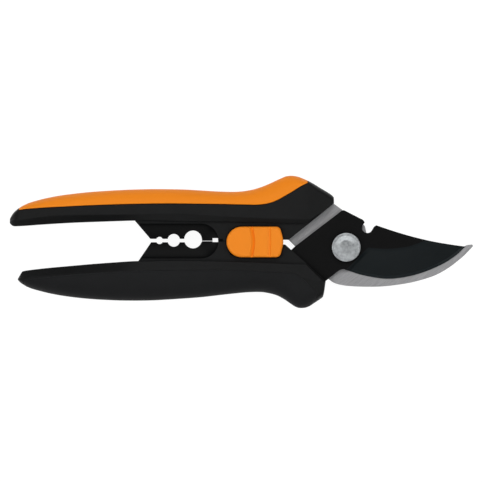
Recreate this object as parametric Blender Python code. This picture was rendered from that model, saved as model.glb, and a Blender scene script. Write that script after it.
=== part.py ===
"""Bypass hand pruner, closed and locked. +X runs to the blade tip, +Y to the upper handle and +Z
to the front. The origin is the centre of the flat rear end of the pivot rivet."""

from math import asin, cos, degrees, hypot, pi, radians, sin

import bmesh
import bpy
import numpy as np
from mathutils import Vector

MM = 0.001

# Overall sizes, in millimetres.
UPPER_REACH = 134.4  # pivot to the tail of the upper handle
LOWER_REACH = 131.2  # pivot to the tail of the lower handle
BLADE_REACH = 50.8  # pivot to the tip of the rear blade
TIP_OVERHANG = 3.1  # how far the rear blade's tip passes the front blade's
HALF_DEPTH = 7.4  # half the handles' thickness, front to back
OPEN_ANGLE = 26.0  # how far the upper half turns

# Clearances.
FIT = 0.3  # between pieces that touch or hold each other
PARTING = 0.36  # between the two handles' closing faces

# Stack of layers along the pivot, from the rivet's tail to its head.
COLLAR_THICK = 1.2
PLATE_THICK = 2.5
WASHER_THICK = 0.5
HEAD_THICK = 1.5
REAR_Z = COLLAR_THICK + FIT
FRONT_Z = REAR_Z + PLATE_THICK + FIT
WASHER_Z = FRONT_Z + PLATE_THICK + FIT
HEAD_Z = WASHER_Z + WASHER_THICK + FIT
MID_Z = FRONT_Z - FIT / 2  # middle plane of both handles

# Pivot.
SHANK_R = 3.0
BUSH_WALL = 1.0
COLLAR_R = 5.2
WASHER_R = 5.0
HEAD_R = 5.75
HEAD_RIM = 0.45

# Opening stop.
STOP_PIN_R = 1.5
STOP_PIN_REACH = 9.6  # pivot to the stop pin
STOP_PIN_SINK = 1.2  # how deep the pin sits in the front blade

# Handles.
WORK_REACH = 84.0  # pivot to where the web and the stripping holes start
GRIP_WALL = 2.2  # thickness of the soft grip over the handle's rib
RIB_HALF = 3.0  # half the rib's thickness
UPPER_FACE = 16.7  # pivot to the upper handle's sloping end face
UPPER_FACE_TURN = 128.8  # direction of that face's distance
LOWER_FACE = 15.5
LOWER_FACE_TURN = 228.0
FACE_CHAMFER = 1.6
END_ROUND = 2.6  # rounding of the handle where no grip covers it
WEB_FRONT = 4.85  # web's front face above the middle plane
WEB_BACK = 6.0  # web's back face below the middle plane
DISH_DEPTH = 1.8  # how far the web is dished round the stripping holes
DISH_R = 7.0
DISH_X = -58.0  # centre of the dish's round end
PART_Y = 2.48  # line on which the handles meet
CHANNEL_UP = 0.85  # channel between the wings, above and below that line
CHANNEL_DOWN = 0.5
THROAT_UP = 0.48  # gap between the handles beside the blades
THROAT_DOWN = 1.4
THROAT_X = -27.0

# Stem stripping holes: centre x, centre y, radius.
HOLES = ((-74.6, 2.7, 1.45), (-68.9, 2.75, 2.55), (-61.2, 3.1, 3.55))
STOP_LEFT = -57.6  # the closing faces run from here
SLOT_LEFT = -53.4  # to this small square opening
SLOT_RIGHT = -51.2
SLOT_UP = 1.14
SLOT_DOWN = 0.42

# Lock slide.
SLIDER_LEFT = -47.8
SLIDER_RIGHT = -25.1
SLIDER_HALF = 6.12
SLIDER_Y = 2.1
SLIDER_RISE = 3.0
SLIDER_TRAVEL = 5.0
GROOVE_DEPTH = 0.6
GROOVE_HALF = 0.55
STEM_X = -38.5
STEM_Y = -1.6
STEM_LENGTH = 5.0
STEM_WIDTH = 2.6
PEG_SHRINK = 0.7  # how much smaller the stem's peg is, on each side
PANEL_THICK = 1.8  # web left over the latch channel
FOOT_THICK = 1.0
FOOT_LEFT = -42.6
FOOT_RIGHT = -34.0
FOOT_LOW = -3.8
TONGUE_WIDTH = 3.2
TONGUE_TOP = 7.6
HOOK_LENGTH = 6.8  # how far the hook reaches past the tongue
HOOK_THICK = 1.5
KEEPER_R = 1.2
KEEPER_LENGTH = 5.5
CHANNEL_SIDE = 1.3  # room beside the latch for the handles to swing

# Return spring.
SPRING_X = -37.0
SPRING_R = 2.6  # outside radius
SPRING_WIRE = 0.8
SPRING_TURNS = 9
SPRING_TOP = 11.6
SPRING_BOTTOM = -5.6

# Pins that hold the blades in the handles.
TANG_PIN_R = 1.25
TANG_PIN_BACK = -1.2
UPPER_PINS = ((-12.5, 17.3), (-25.0, 12.3))
LOWER_PINS = ((-16.2, -11.0), (-25.4, -5.2))

# Blades.
NOTCH = ((7.4, 9.8), (6.5, 8.6), (6.4, 7.2), (7.2, 6.1), (8.6, 5.7), (9.9, 6.2), (11.2, 8.2))
EDGE_THICK = 0.35
SPINE_THIN = 0.5  # least thickness where the grind meets the tip

SMOOTH_STEPS = 3
CROWN_STEPS = 5
ROUND_STEPS = 32

COLOURS = {
    "handle": ((0.012, 0.013, 0.014), 0.55, 0.0),
    "soft": ((0.016, 0.017, 0.018), 0.8, 0.0),
    "orange": ((0.85, 0.26, 0.018), 0.55, 0.0),
    "coated": ((0.008, 0.008, 0.009), 0.4, 0.6),
    "steel": ((0.33, 0.33, 0.34), 0.35, 1.0),
    "zinc": ((0.55, 0.57, 0.58), 0.4, 1.0),
    "spring": ((0.42, 0.42, 0.43), 0.3, 1.0),
    "bronze": ((0.45, 0.3, 0.14), 0.4, 1.0),
}


# ---- curves and outlines --------------------------------------------------------------------


def curve(points):
    """A smooth curve through (x, value) points that never swings past them."""
    xs, ys = np.array(sorted(points), float).T
    slopes = np.diff(ys) / np.diff(xs)
    tangent = np.concatenate([slopes[:1], np.zeros(len(xs) - 2), slopes[-1:]])
    for i in range(1, len(xs) - 1):
        before, after = slopes[i - 1], slopes[i]
        if before * after > 0:
            tangent[i] = 2 * before * after / (before + after)

    def value(x):
        x = min(max(x, xs[0]), xs[-1])
        i = min(max(int(np.searchsorted(xs, x)) - 1, 0), len(xs) - 2)
        width = xs[i + 1] - xs[i]
        t = (x - xs[i]) / width
        return float(
            (1 + 2 * t) * (1 - t) ** 2 * ys[i]
            + t * (1 - t) ** 2 * width * tangent[i]
            + t * t * (3 - 2 * t) * ys[i + 1]
            + t * t * (t - 1) * width * tangent[i + 1]
        )

    return value


def smooth(points, steps=SMOOTH_STEPS):
    """The points, with a rounded line through them."""
    ends = [2 * np.array(points[0]) - points[1], *points, 2 * np.array(points[-1]) - points[-2]]
    line = []
    for a, b, c, d in zip(ends, ends[1:], ends[2:], ends[3:]):
        a, b, c, d = (np.array(p, float) for p in (a, b, c, d))
        for t in np.arange(steps) / steps:
            line.append(
                0.5 * (2 * b + (c - a) * t + (2 * a - 5 * b + 4 * c - d) * t**2)
                + 0.5 * (3 * b - a - 3 * c + d) * t**3
            )
    return [tuple(p) for p in line] + [tuple(points[-1])]


def resample(line, count):
    """The line as count points, evenly spaced along it."""
    line = np.array(line)
    run = np.concatenate([[0], np.cumsum(np.hypot(*np.diff(line, axis=0).T))])
    at = np.linspace(0, run[-1], count)
    return [(float(np.interp(s, run, line[:, 0])), float(np.interp(s, run, line[:, 1]))) for s in at]


def arc(cx, cy, radius, start, end, steps=8):
    """Points on a round arc, angles in degrees."""
    turns = [radians(start + (end - start) * k / steps) for k in range(steps + 1)]
    return [(cx + radius * cos(a), cy + radius * sin(a)) for a in turns]


def offset(outline, distance):
    """The outline moved outwards by distance on every side."""
    pts = [np.array(p, float) for p in outline]
    area = sum(a[0] * b[1] - b[0] * a[1] for a, b in zip(pts, pts[1:] + pts[:1]))
    side = 1 if area > 0 else -1
    moved = []
    for before, here, after in zip(pts[-1:] + pts[:-1], pts, pts[1:] + pts[:1]):
        one, two = here - before, after - here
        n1 = side * np.array([one[1], -one[0]]) / hypot(*one)
        n2 = side * np.array([two[1], -two[0]]) / hypot(*two)
        mean = n1 + n2
        moved.append(tuple(here + mean * min(2 / max(mean @ mean, 1e-6), 1.5) * distance))
    return moved


def turned(points, angle):
    """The points turned about the pivot, anticlockwise, in degrees."""
    c, s = cos(radians(angle)), sin(radians(angle))
    return [(c * x - s * y, s * x + c * y) for x, y in points]


def along_blade(share, y, root=8.0):
    """A point on the blades past the pivot: share of the way from the root to the tip."""
    return (root + share * (BLADE_REACH - root), y)


# ---- meshes ---------------------------------------------------------------------------------


def material(finish):
    found = bpy.data.materials.get(finish)
    if found:
        return found
    found = bpy.data.materials.new(finish)
    found.use_nodes = True
    shader = found.node_tree.nodes["Principled BSDF"]
    colour, roughness, metallic = COLOURS[finish]
    shader.inputs["Base Color"].default_value = (*colour, 1)
    shader.inputs["Roughness"].default_value = roughness
    shader.inputs["Metallic"].default_value = metallic
    found.diffuse_color = (*colour, 1)
    return found


def make(name, bm, finish=None, centre=(0, 0, 0)):
    """An object from a bmesh in millimetres, with its origin at centre."""
    bmesh.ops.remove_doubles(bm, verts=bm.verts, dist=1e-4)
    bmesh.ops.recalc_face_normals(bm, faces=bm.faces)
    for vert in bm.verts:
        vert.co = (vert.co - Vector(centre)) * MM
    mesh = bpy.data.meshes.new(name)
    bm.to_mesh(mesh)
    bm.free()
    obj = bpy.data.objects.new(name, mesh)
    obj.location = Vector(centre) * MM
    bpy.context.scene.collection.objects.link(obj)
    if finish:
        mesh.materials.append(material(finish))
        mesh.shade_smooth()
        mesh.set_sharp_from_angle(angle=radians(35))
    else:
        obj.hide_render = True
        obj.display_type = "WIRE"
    return obj


def stack(rings):
    """A closed bmesh through rings of equally many points, capped at both ends."""
    bm = bmesh.new()
    layers = [[bm.verts.new(p) for p in ring] for ring in rings]
    for low, high in zip(layers, layers[1:]):
        for i in range(len(low)):
            j = (i + 1) % len(low)
            bm.faces.new((low[i], low[j], high[j], high[i]))
    bm.faces.new(layers[0])
    bm.faces.new(layers[-1])
    return bm


def slab(outline, low, high):
    """An outline in X and Y, from one height to another."""
    return stack([[(x, y, z) for x, y in outline] for z in (low, high)])


def cylinder(x, y, radius, low, high, steps=ROUND_STEPS):
    return slab(arc(x, y, radius, 0, 360 * (steps - 1) / steps, steps - 1), low, high)


def box(low, high):
    (x0, y0, z0), (x1, y1, z1) = low, high
    return slab([(x0, y0), (x1, y0), (x1, y1), (x0, y1)], z0, z1)


def turning(profile, x=0.0, y=0.0, steps=ROUND_STEPS):
    """A round piece turned about Z: profile is (radius, z) points, closed round a bore."""
    bm = bmesh.new()
    rings = []
    for radius, z in profile:
        if radius == 0:
            rings.append([bm.verts.new((x, y, z))] * steps)
            continue
        rings.append([bm.verts.new((*p, z)) for p in arc(x, y, radius, 0, 360, steps)[:-1]])
    if all(radius for radius, _ in profile):
        rings.append(rings[0])
    for low, high in zip(rings, rings[1:]):
        for i in range(steps):
            j = (i + 1) % steps
            corners = list(dict.fromkeys((low[i], low[j], high[j], high[i])))
            if len(corners) > 2:
                bm.faces.new(corners)
    return bm


def combine(obj, tool, operation="DIFFERENCE"):
    """Cuts the tool from the object, or joins it on."""
    change = obj.modifiers.new(tool.name, "BOOLEAN")
    change.operation = operation
    change.solver = "EXACT"
    change.object = tool


def cut(obj, bm, name):
    combine(obj, make(f"{obj.name}_{name}", bm))


def join(obj, bm, name):
    combine(obj, make(f"{obj.name}_{name}", bm), "UNION")


# ---- handles --------------------------------------------------------------------------------


class Handle:
    """One handle's shape. Heights v run outwards from the middle of the tool, so the lower
    handle uses the same words with y = -v. Tail points are (share of the tail, v)."""

    def __init__(self, name, side, reach, outer, split, crease, inner, grip_ends, front_end):
        self.name, self.side, self.reach, self.front_end = name, side, reach, front_end
        self.outer, self.split, self.crease, self.inner = (
            curve([(self.tail(share), v) for share, v in tail] + list(work))
            for tail, work in (outer, split, crease, inner)
        )
        self.grip_left, self.grip_right = self.tail(grip_ends[0]), grip_ends[1]
        self.lean = curve([(-WORK_REACH - 8, 0.72), (-WORK_REACH + 2, 0.86)])
        depth = ((0, 7.4), (0.48, 7.4), (0.7, 7.0), (0.84, 6.3), (0.93, 5.4), (0.98, 3.9), (1, 2.4))
        front = ((-30, 7.4), (-20, 7.25), (-12, 6.9), (-5, 6.3))
        self.depth = curve(
            [(self.tail(share), d * HALF_DEPTH / 7.4) for share, d in depth]
            + [(x, d * HALF_DEPTH / 7.4) for x, d in front]
        )

    def tail(self, share):
        return -WORK_REACH - share * (self.reach - WORK_REACH)

    def rib(self, x):
        """How far the handle's rib goes into the grip."""
        return max(self.outer(x) - self.split(x) - GRIP_WALL, 0.6)

    def place(self, x, section):
        return [(x, self.side * v, MID_Z + z) for v, z in section]

    def mirrored(self, x, half):
        return self.place(x, half + [(v, -z) for v, z in reversed(half)])

    def core_ring(self, x, ribbed):
        low, top, depth = self.inner(x), self.outer(x), self.depth(x)
        crease = min(self.crease(x), low + 0.45 * (top - low))
        lean = self.lean(x)
        half = [(low, lean * depth), (low + 0.2 * (crease - low), (lean + 0.07) * depth)]
        half.append((crease, depth))
        if ribbed:
            split = self.split(x) - FIT
            half += [(split, depth), (split, RIB_HALF), (split + self.rib(x), RIB_HALF)]
        else:
            shoulder = max(low + 0.5 * (top - low), top - END_ROUND)
            bend = shoulder + 0.7 * (top - shoulder)
            half += [(shoulder, depth), (bend, 0.78 * depth), (top, 0.35 * depth)]
        return self.mirrored(x, half)

    def grip_ring(self, x):
        split, width, depth = self.split(x), self.outer(x) - self.split(x), self.depth(x)
        slot = split + self.rib(x)
        crown = [
            (split + width * sin(a) ** 0.87, depth * cos(a) ** 0.87)
            for a in (pi / 2 * k / CROWN_STEPS for k in range(CROWN_STEPS))
        ]
        outside = crown + [(split + width, 0)] + [(v, -z) for v, z in reversed(crown)]
        half = RIB_HALF + FIT
        inside = [(split, -half), (slot, -half), (slot, half), (split, half)]
        return self.place(x, outside + inside)

    def stations(self, left, right):
        """Places along the handle, closer together where it curves most."""
        steps = [self.tail(s) for s in (1, 0.985, 0.96, 0.93, 0.9, 0.86, 0.8, 0.7, 0.55, 0.4, 0.2, 0)]
        steps += [-74, -64, -54, -46, -40, -36, -33, -30, -28, -26, -24, -22, -20, -18, -16]
        steps += [-14, -12, -10, -9.1, -7, -5.6]
        margin = 0.35
        return [left] + [x for x in steps if left + margin < x < right - margin] + [right]

    def core(self):
        left, right = self.grip_left, self.grip_right
        nose = self.stations(-self.reach, left - FIT)
        middle = self.stations(left, right)
        front = self.stations(right + FIT, self.front_end)
        rings = [self.core_ring(x, False) for x in nose]
        rings += [self.core_ring(x, True) for x in middle]
        rings += [self.core_ring(x, False) for x in front]
        return stack(rings)

    def grip(self):
        return stack([self.grip_ring(x) for x in self.stations(self.grip_left, self.grip_right)])


def upper():
    return Handle(
        "upper",
        1,
        UPPER_REACH,
        outer=(
            ((1, 11.4), (0.984, 12.9), (0.965, 14.1), (0.94, 15.2), (0.9, 16.55), (0.86, 17.5))
            + ((0.83, 18.05), (0.7, 19.75), (0.55, 21.05), (0.3, 22.33), (0, 23.1)),
            ((-76, 23.25), (-66, 23.12), (-57, 22.65), (-50, 22.25), (-45, 22.15), (-42, 22.3))
            + ((-38, 22.9), (-34, 24.05), (-30, 25.7), (-26, 27.55), (-23.6, 28.45), (-21.8, 28.6))
            + ((-19.8, 28.36), (-17.4, 27.56), (-14, 25.95), (-10.2, 23.65), (-5.6, 20.75))
            + ((-4.9, 20.0),),
        ),
        split=(
            ((0.925, 14.9), (0.86, 15.35), (0.56, 16.28), (0.2, 17.05), (0, 17.32)),
            ((-70, 17.47), (-60, 17.37), (-50, 17.25), (-42, 17.06), (-36, 16.95), (-33, 17.2))
            + ((-30, 17.85), (-27.8, 18.67), (-24.6, 20.42), (-21.4, 22.29), (-18.2, 24.33))
            + ((-15, 26.0),),
        ),
        crease=(
            ((1, 10.4), (0.93, 10.9), (0.56, 12.8), (0.2, 13.0)),
            ((-84, 13.1), (-70, 13.4), (-50, 12.4), (-30, 11.5), (-5, 11.0)),
        ),
        inner=(
            ((1, 9.6), (0.985, 8.75), (0.965, 8.34), (0.92, 8.42), (0.76, 8.98), (0.6, 9.5))
            + ((0.44, 9.9), (0.3, 10.15), (0.13, 10.45)),
            ((-84, 10.62), (-70, 10.35), (-40, 9.9), (-18, 9.4), (-5, 9.3)),
        ),
        grip_ends=(0.925, -15.8),
        front_end=-4.9,
    )


def lower():
    return Handle(
        "lower",
        -1,
        LOWER_REACH,
        outer=(
            ((1, 13.1), (0.98, 14.15), (0.95, 15.1), (0.925, 15.8), (0.88, 16.65), (0.82, 17.45))
            + ((0.72, 18.6), (0.6, 19.6), (0.44, 20.5), (0.29, 21.02), (0.1, 21.36)),
            ((-84, 21.39), (-78, 21.3), (-72, 21.0), (-66, 20.62), (-58, 20.02), (-50, 19.12))
            + ((-44, 18.46), (-39, 18.03), (-36, 17.93), (-34, 17.95), (-31, 18.38), (-28, 19.17))
            + ((-25, 20.68), (-22.2, 22.56), (-20.2, 23.85), (-18.4, 24.35), (-16.8, 24.3))
            + ((-15, 23.79), (-12.6, 22.27), (-10.2, 20.67), (-9.1, 19.7), (-8.25, 14.4)),
        ),
        split=(
            ((0.955, 13.1), (0.41, 10.6), (0, 9.6)),
            ((-66, 9.2), (-50, 9.1), (-33, 9.9), (-21, 10.6), (-17.4, 12.6), (-14, 16.1))
            + ((-11.2, 19.0),),
        ),
        crease=(
            ((1, 12.9), (0.96, 11.2), (0.8, 9.6), (0.44, 8.0), (0.13, 7.1)),
            ((-84, 6.8), (-70, 6.4), (-35, 7.2), (-18, 8.0), (-8, 8.0)),
        ),
        inner=(
            ((1, 12.6), (0.983, 11.3), (0.963, 9.8), (0.955, 9.58), (0.86, 8.9), (0.76, 8.37))
            + ((0.546, 7.45), (0.356, 6.67), (0.144, 5.94), (0.04, 5.62)),
            ((-84, 5.55), (-70, 5.2), (-35, 5.9), (-18, 6.6), (-8, 6.6)),
        ),
        grip_ends=(0.955, -11.6),
        front_end=-8.25,
    )


def wing_edge(y, side):
    """The wings' inner edge at height y, with a round bite for each stripping hole."""
    line = []
    for cx, cy, radius in HOLES:
        lean = degrees(asin((y - cy) / radius))
        start, end = (180 - lean, lean) if side > 0 else (180 - lean, 360 + lean)
        line += arc(cx, cy, radius, start, end, 12)
    return line


def face_point(distance, turn, along):
    """A point on an end face, which lies distance from the pivot in the direction turn."""
    c, s = cos(radians(turn)), sin(radians(turn))
    return (distance * c + along * s, distance * s - along * c)


def web_outline(handle):
    """The flat web beside the blades, and the wing with the stripping holes."""
    side = handle.side
    meet = PART_Y + side * PARTING / 2
    channel = PART_Y + (CHANNEL_UP if side > 0 else -CHANNEL_DOWN)
    throat = PART_Y + (THROAT_UP if side > 0 else -THROAT_DOWN)
    slot = PART_Y + (SLOT_UP if side > 0 else -SLOT_DOWN)
    wing_left = -78.2 if side > 0 else -77.9
    web_left = -WORK_REACH - (0.4 if side > 0 else -1.0)
    inside = 1.6  # how far the web runs into the handle
    line = [(wing_left, channel), *wing_edge(channel, side), (STOP_LEFT, channel), (STOP_LEFT, meet)]
    line += [(SLOT_LEFT, meet), (SLOT_LEFT, slot), (SLOT_RIGHT, slot), (SLOT_RIGHT, meet)]
    line += [(THROAT_X - abs(throat - meet), meet), (THROAT_X, throat), (-6, throat)]
    line += [
        (x, side * (handle.inner(x) + inside)) for x in (-6, -18, -30, -42, -54, -66, -76, -WORK_REACH)
    ]
    return line + [(web_left, side * handle.inner(-WORK_REACH))]


def dish_outline():
    """The dish round the stripping holes: open at the left, round at the right."""
    left = -WORK_REACH - 6
    return [(left, PART_Y - DISH_R), *arc(DISH_X, PART_Y, DISH_R, -90, 90, 12), (left, PART_Y + DISH_R)]


def end_cut(distance, turn, toward):
    """A block that cuts a sloping end face with chamfered front and back edges."""
    reach, high = 60, HALF_DEPTH + 4
    edge = HALF_DEPTH - FACE_CHAMFER
    profile = [(-reach, -high), (distance + high - edge, -high), (distance, -edge)]
    profile += [(distance, edge), (distance + high - edge, high), (-reach, high)]
    rings = []
    for along in (-reach, reach):
        rings.append([(*face_point(d, turn, along), MID_Z + z) for d, z in profile])
    return stack(rings)


def blade_pocket(outline, low):
    return slab(offset(outline, FIT), low - FIT, low + PLATE_THICK + FIT)


def spring_pocket():
    """Bore along Y that holds the return spring in both handles."""
    bore = arc(SPRING_X, spring_z(), SPRING_R + FIT, 0, 360, 20)[:-1]
    return stack([[(x, y, z) for x, z in bore] for y in (SPRING_BOTTOM - FIT, SPRING_TOP + FIT)])


def spring_z():
    return channel_z() - FIT - 0.4 - SPRING_R


def channel_z():
    """Floor of the latch channel, under the web's front skin."""
    return MID_Z + WEB_FRONT - PANEL_THICK - FOOT_THICK - 3 * FIT


def foot_z():
    return channel_z() + 2 * FIT


def latch_channel(side):
    """Room for the latch plate: deep in the lower handle, and for its tongue in the upper."""
    top = channel_z() + FOOT_THICK + 3 * FIT
    if side < 0:
        low = (FOOT_LEFT - SLIDER_TRAVEL - FIT, FOOT_LOW - FIT, channel_z())
        return box(low, (FOOT_RIGHT + FIT, PART_Y, top))
    left = STEM_X - TONGUE_WIDTH / 2 - SLIDER_TRAVEL - CHANNEL_SIDE
    right = STEM_X + TONGUE_WIDTH / 2 + HOOK_LENGTH + CHANNEL_SIDE
    return box((left, PART_Y, channel_z()), (right, TONGUE_TOP + 2 * FIT, top))


def stem_slot():
    half, side = STEM_LENGTH / 2 + FIT, STEM_WIDTH / 2 + FIT
    low = (STEM_X - half - SLIDER_TRAVEL, STEM_Y - side, foot_z())
    return box(low, (STEM_X + half, STEM_Y + side, MID_Z + WEB_FRONT + 1))


def handle_core(handle, blade, blade_z, face, face_turn, pins):
    """The rigid moulding: a ribbed beam, a flat web, and room for everything it holds."""
    core = make(f"{handle.name}_handle", handle.core(), "handle")
    join(core, slab(web_outline(handle), MID_Z - WEB_BACK, MID_Z + WEB_FRONT), "web")
    dish = MID_Z + WEB_FRONT - DISH_DEPTH
    cut(core, slab(dish_outline(), dish, dish + 20), "dish_front")
    cut(core, slab(dish_outline(), MID_Z - 20, MID_Z - WEB_BACK + DISH_DEPTH), "dish_back")
    cut(core, end_cut(face, face_turn, handle.side), "end")
    cut(core, blade_pocket(blade, blade_z), "blade_slot")
    cut(core, latch_channel(handle.side), "latch_channel")
    cut(core, spring_pocket(), "spring_pocket")
    for number, (x, y) in enumerate(pins, 1):
        bore = cylinder(x, y, TANG_PIN_R + FIT, MID_Z - 20, pin_top() + FIT, 16)
        cut(core, bore, f"pin_bore_{number}")
    return core


def pin_top():
    return FRONT_Z + PLATE_THICK + 0.9


def tang_pins(handle, pins, pivot):
    for number, (x, y) in enumerate(pins, 1):
        name = f"{handle.name}_tang_pin_{number}"
        pin = make(name, cylinder(x, y, TANG_PIN_R, TANG_PIN_BACK, pin_top(), 16), "zinc")
        if pivot:
            hang(pin, pivot)


# ---- blades ---------------------------------------------------------------------------------


def front_tip():
    return (BLADE_REACH - TIP_OVERHANG, 0.25)


def front_edge():
    """The front blade's cutting edge, from the root to the tip."""
    shares = ((1.4, -9.5), (5.6, -10.9), (11.4, -12.1), (17.1, -12.6))
    belly = ((0.37, -11.9), (0.545, -9.9), (0.72, -6.6), (0.842, -3.2))
    return smooth([*shares, *(along_blade(share, y) for share, y in belly), front_tip()], 4)


def front_spine():
    """The front blade's back, from the tip to the wire notch."""
    belly = ((0.78, 1.15), (0.61, 2.42), (0.435, 4.2), (0.26, 6.4))
    return smooth([front_tip(), *(along_blade(share, y) for share, y in belly), (12.1, 8.75)], 4)


def front_root():
    """From the wire notch round the pivot and the tang to the relief under the edge."""
    line = [*reversed(smooth(NOTCH, 3)), (7.2, 10.4), (6.7, 10.95)]
    line += [(-0.5, 14.65), (-1.0, 14.8), (-1.75, 14.6), (-20.5, 0.25)]
    line += [(-22.6, -1.7), (-25.5, -2.3), (-29, -2.6), (-29, -7.8), (-21, -8.8)]
    line += [(-18.5, -10.6), (-15.6, -14.0), (-12, -15.6), (-8.4, -13.7)]
    return line + smooth([(-4.2, -10.3), (-2.4, -9.1), (-0.9, -8.75)], 3)


def front_outline():
    return front_edge() + front_spine()[1:] + front_root()


def grind_line():
    """Where the ground face of the front blade begins, from its root to the back of the blade."""
    return smooth([(8.8, -0.1), along_blade(0.2, -0.6), along_blade(0.38, 0.1), along_blade(0.5, 1.6)])


def front_blade():
    """A flat plate with one wide ground face along the cutting edge, and a step at its root."""
    low, high = FRONT_Z, FRONT_Z + PLATE_THICK
    root, spine = front_root(), front_spine()
    leaves = next(k for k, (x, _) in enumerate(spine) if x <= along_blade(0.57, 0)[0])
    top = grind_line() + spine[leaves::-1]
    edge = resample(front_edge(), len(top))
    ground = len(grind_line())
    fall = [high] * ground
    for k in range(leaves + 1):
        fall.append(high - (PLATE_THICK - SPINE_THIN) * k / max(leaves, 1))
    bm = bmesh.new()
    tip_low = bm.verts.new((*edge[-1], low))
    edge_low = [bm.verts.new((*p, low)) for p in edge[:-1]] + [tip_low]
    top_v = [bm.verts.new((x, y, z)) for (x, y), z in zip(top[:-1], fall)]
    tip_high = bm.verts.new((*edge[-1], low + SPINE_THIN))
    top_v.append(tip_high)
    edge_high = [bm.verts.new((*p, low + EDGE_THICK)) for p in edge[:-1]] + [tip_high]
    for k in range(len(top) - 1):
        ring = (edge_high[k], edge_high[k + 1], top_v[k + 1], top_v[k])
        bm.faces.new(tuple(dict.fromkeys(ring)))
        side = (edge_low[k], edge_low[k + 1], edge_high[k + 1], edge_high[k])
        bm.faces.new(side)
    back_low = [bm.verts.new((*p, low)) for p in spine[1:] + root]
    spine_high = list(reversed(top_v[ground:-1]))
    rest_high = [bm.verts.new((*p, high)) for p in (spine + root)[leaves + 1 :]]
    step = bm.verts.new((edge[0][0] - 1.5, edge[0][1] + 0.35, high))
    back_high = spine_high + rest_high
    step_low = bm.verts.new((edge[0][0] - 1.5, edge[0][1] + 0.35, low))
    back_low.append(step_low)
    back_high.append(step)
    chain_low, chain_high = [tip_low, *back_low], [tip_high, *back_high]
    for k in range(len(chain_low) - 1):
        bm.faces.new((chain_low[k], chain_low[k + 1], chain_high[k + 1], chain_high[k]))
    bm.faces.new((step_low, edge_low[0], edge_high[0], step))
    bm.faces.new((step, edge_high[0], top_v[0]))
    bm.faces.new([step, *top_v[:ground], *rest_at(spine_high), *rest_high])
    bm.faces.new([*edge_low, *back_low])
    blade = make("front_blade", bm, "coated")
    cut(blade, cylinder(0, 0, SHANK_R + FIT, low - 1, high + 1), "pivot_hole")
    x, y = stop_pin_place()
    cut(blade, cylinder(x, y, STOP_PIN_R + FIT, low - 1, low + STOP_PIN_SINK + FIT, 16), "stop_hole")
    return blade


def rest_at(spine_high):
    """The last point of the ground spine, which the flat face shares."""
    return spine_high[-1:]


def rear_outline():
    """The hooked rear blade: heel, outer jaw edge, tip, inner edge, wire notch, shoulder, tang."""
    heel = [(-6.8, -12.9), (-4.5, -14.4), (-0.1, -15.4), (6.6, -15.8)]
    jaw = ((0.13, -15.75), (0.285, -15.1), (0.44, -13.95), (0.6, -12.0), (0.7, -10.1), (0.8, -7.4))
    jaw += ((0.905, -3.75), (0.975, -0.8))
    line = smooth([*heel, *(along_blade(share, y) for share, y in jaw)], 3)
    line += [along_blade(1, 0.4), along_blade(0.994, 1.1), along_blade(0.945, 0.9)]
    inner = ((0.86, -0.9), (0.74, -4.2), (0.6, -6.9), (0.43, -8.8), (0.25, -9.6), (0.1, -8.8))
    line += smooth([along_blade(share, y) for share, y in inner], 3)
    line += smooth([(9.9, -5.5), (8.9, -1.5), (8.6, 2.5), (8.1, 6.0), (7.6, 8.4)], 2)
    line += list(reversed(turned(smooth(NOTCH[1:-1], 2), OPEN_ANGLE)))[:-1]
    line += [(0.0, 12.9), (-1.4, 14.9), (-4.3, 17.0), (-9, 20.0), (-15, 21.0), (-24, 16.6)]
    return line + [(-29, 13.2), (-29, 7.6), (-25.8, 5.2), (-23.0, 2.96)]


def stop_pin_place():
    return (-STOP_PIN_REACH, 0.0)


def stop_slot():
    """Curved slot that the stop pin runs in while the rear blade turns."""
    half = STOP_PIN_R + FIT
    end = 180 + OPEN_ANGLE
    line = arc(0, 0, STOP_PIN_REACH + half, 180, end, 10)
    line += arc(*turned([stop_pin_place()], OPEN_ANGLE)[0], half, end, end + 180, 8)[1:-1]
    line += arc(0, 0, STOP_PIN_REACH - half, end, 180, 10)
    return line + arc(*stop_pin_place(), half, 0, 180, 8)[1:-1]


def rear_blade():
    blade = make("rear_blade", slab(rear_outline(), REAR_Z, REAR_Z + PLATE_THICK), "steel")
    edge = SHANK_R + 2 * FIT + BUSH_WALL
    cut(blade, cylinder(0, 0, edge, REAR_Z - 1, REAR_Z + PLATE_THICK + 1), "pivot_hole")
    cut(blade, slab(stop_slot(), REAR_Z - 1, REAR_Z + PLATE_THICK + 1), "stop_slot")
    return blade


def tang_holes(blade, pins):
    for number, (x, y) in enumerate(pins, 1):
        hole = cylinder(x, y, TANG_PIN_R + FIT, REAR_Z - 1, FRONT_Z + PLATE_THICK + 1, 16)
        cut(blade, hole, f"tang_hole_{number}")


# ---- pivot ----------------------------------------------------------------------------------


def pivot_rivet():
    top = HEAD_Z + HEAD_THICK
    profile = [(0, 0), (SHANK_R, 0), (SHANK_R, HEAD_Z), (HEAD_R, HEAD_Z), (HEAD_R, top - HEAD_RIM)]
    return make("pivot_rivet", turning([*profile, (HEAD_R - HEAD_RIM, top), (0, top)]), "zinc")


def ring(name, inner, outer, low, high, finish, lift=0.0):
    """A washer, bush or collar; lift cups it, by raising its inner rim."""
    profile = [(inner, low + lift), (outer, low), (outer, high - lift), (inner, high)]
    return make(name, turning(profile), finish)


def pivot_rings():
    bore = SHANK_R + FIT
    ring("tension_washer", bore, WASHER_R, WASHER_Z, WASHER_Z + WASHER_THICK, "spring", 0.12)
    ring("pivot_collar", bore, COLLAR_R, 0, COLLAR_THICK, "zinc")
    return ring("pivot_bush", bore, bore + BUSH_WALL, REAR_Z, REAR_Z + PLATE_THICK, "bronze")


def stop_pin():
    x, y = stop_pin_place()
    bm = cylinder(x, y, STOP_PIN_R, REAR_Z, FRONT_Z + STOP_PIN_SINK, 16)
    return make("stop_pin", bm, "zinc")


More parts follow.
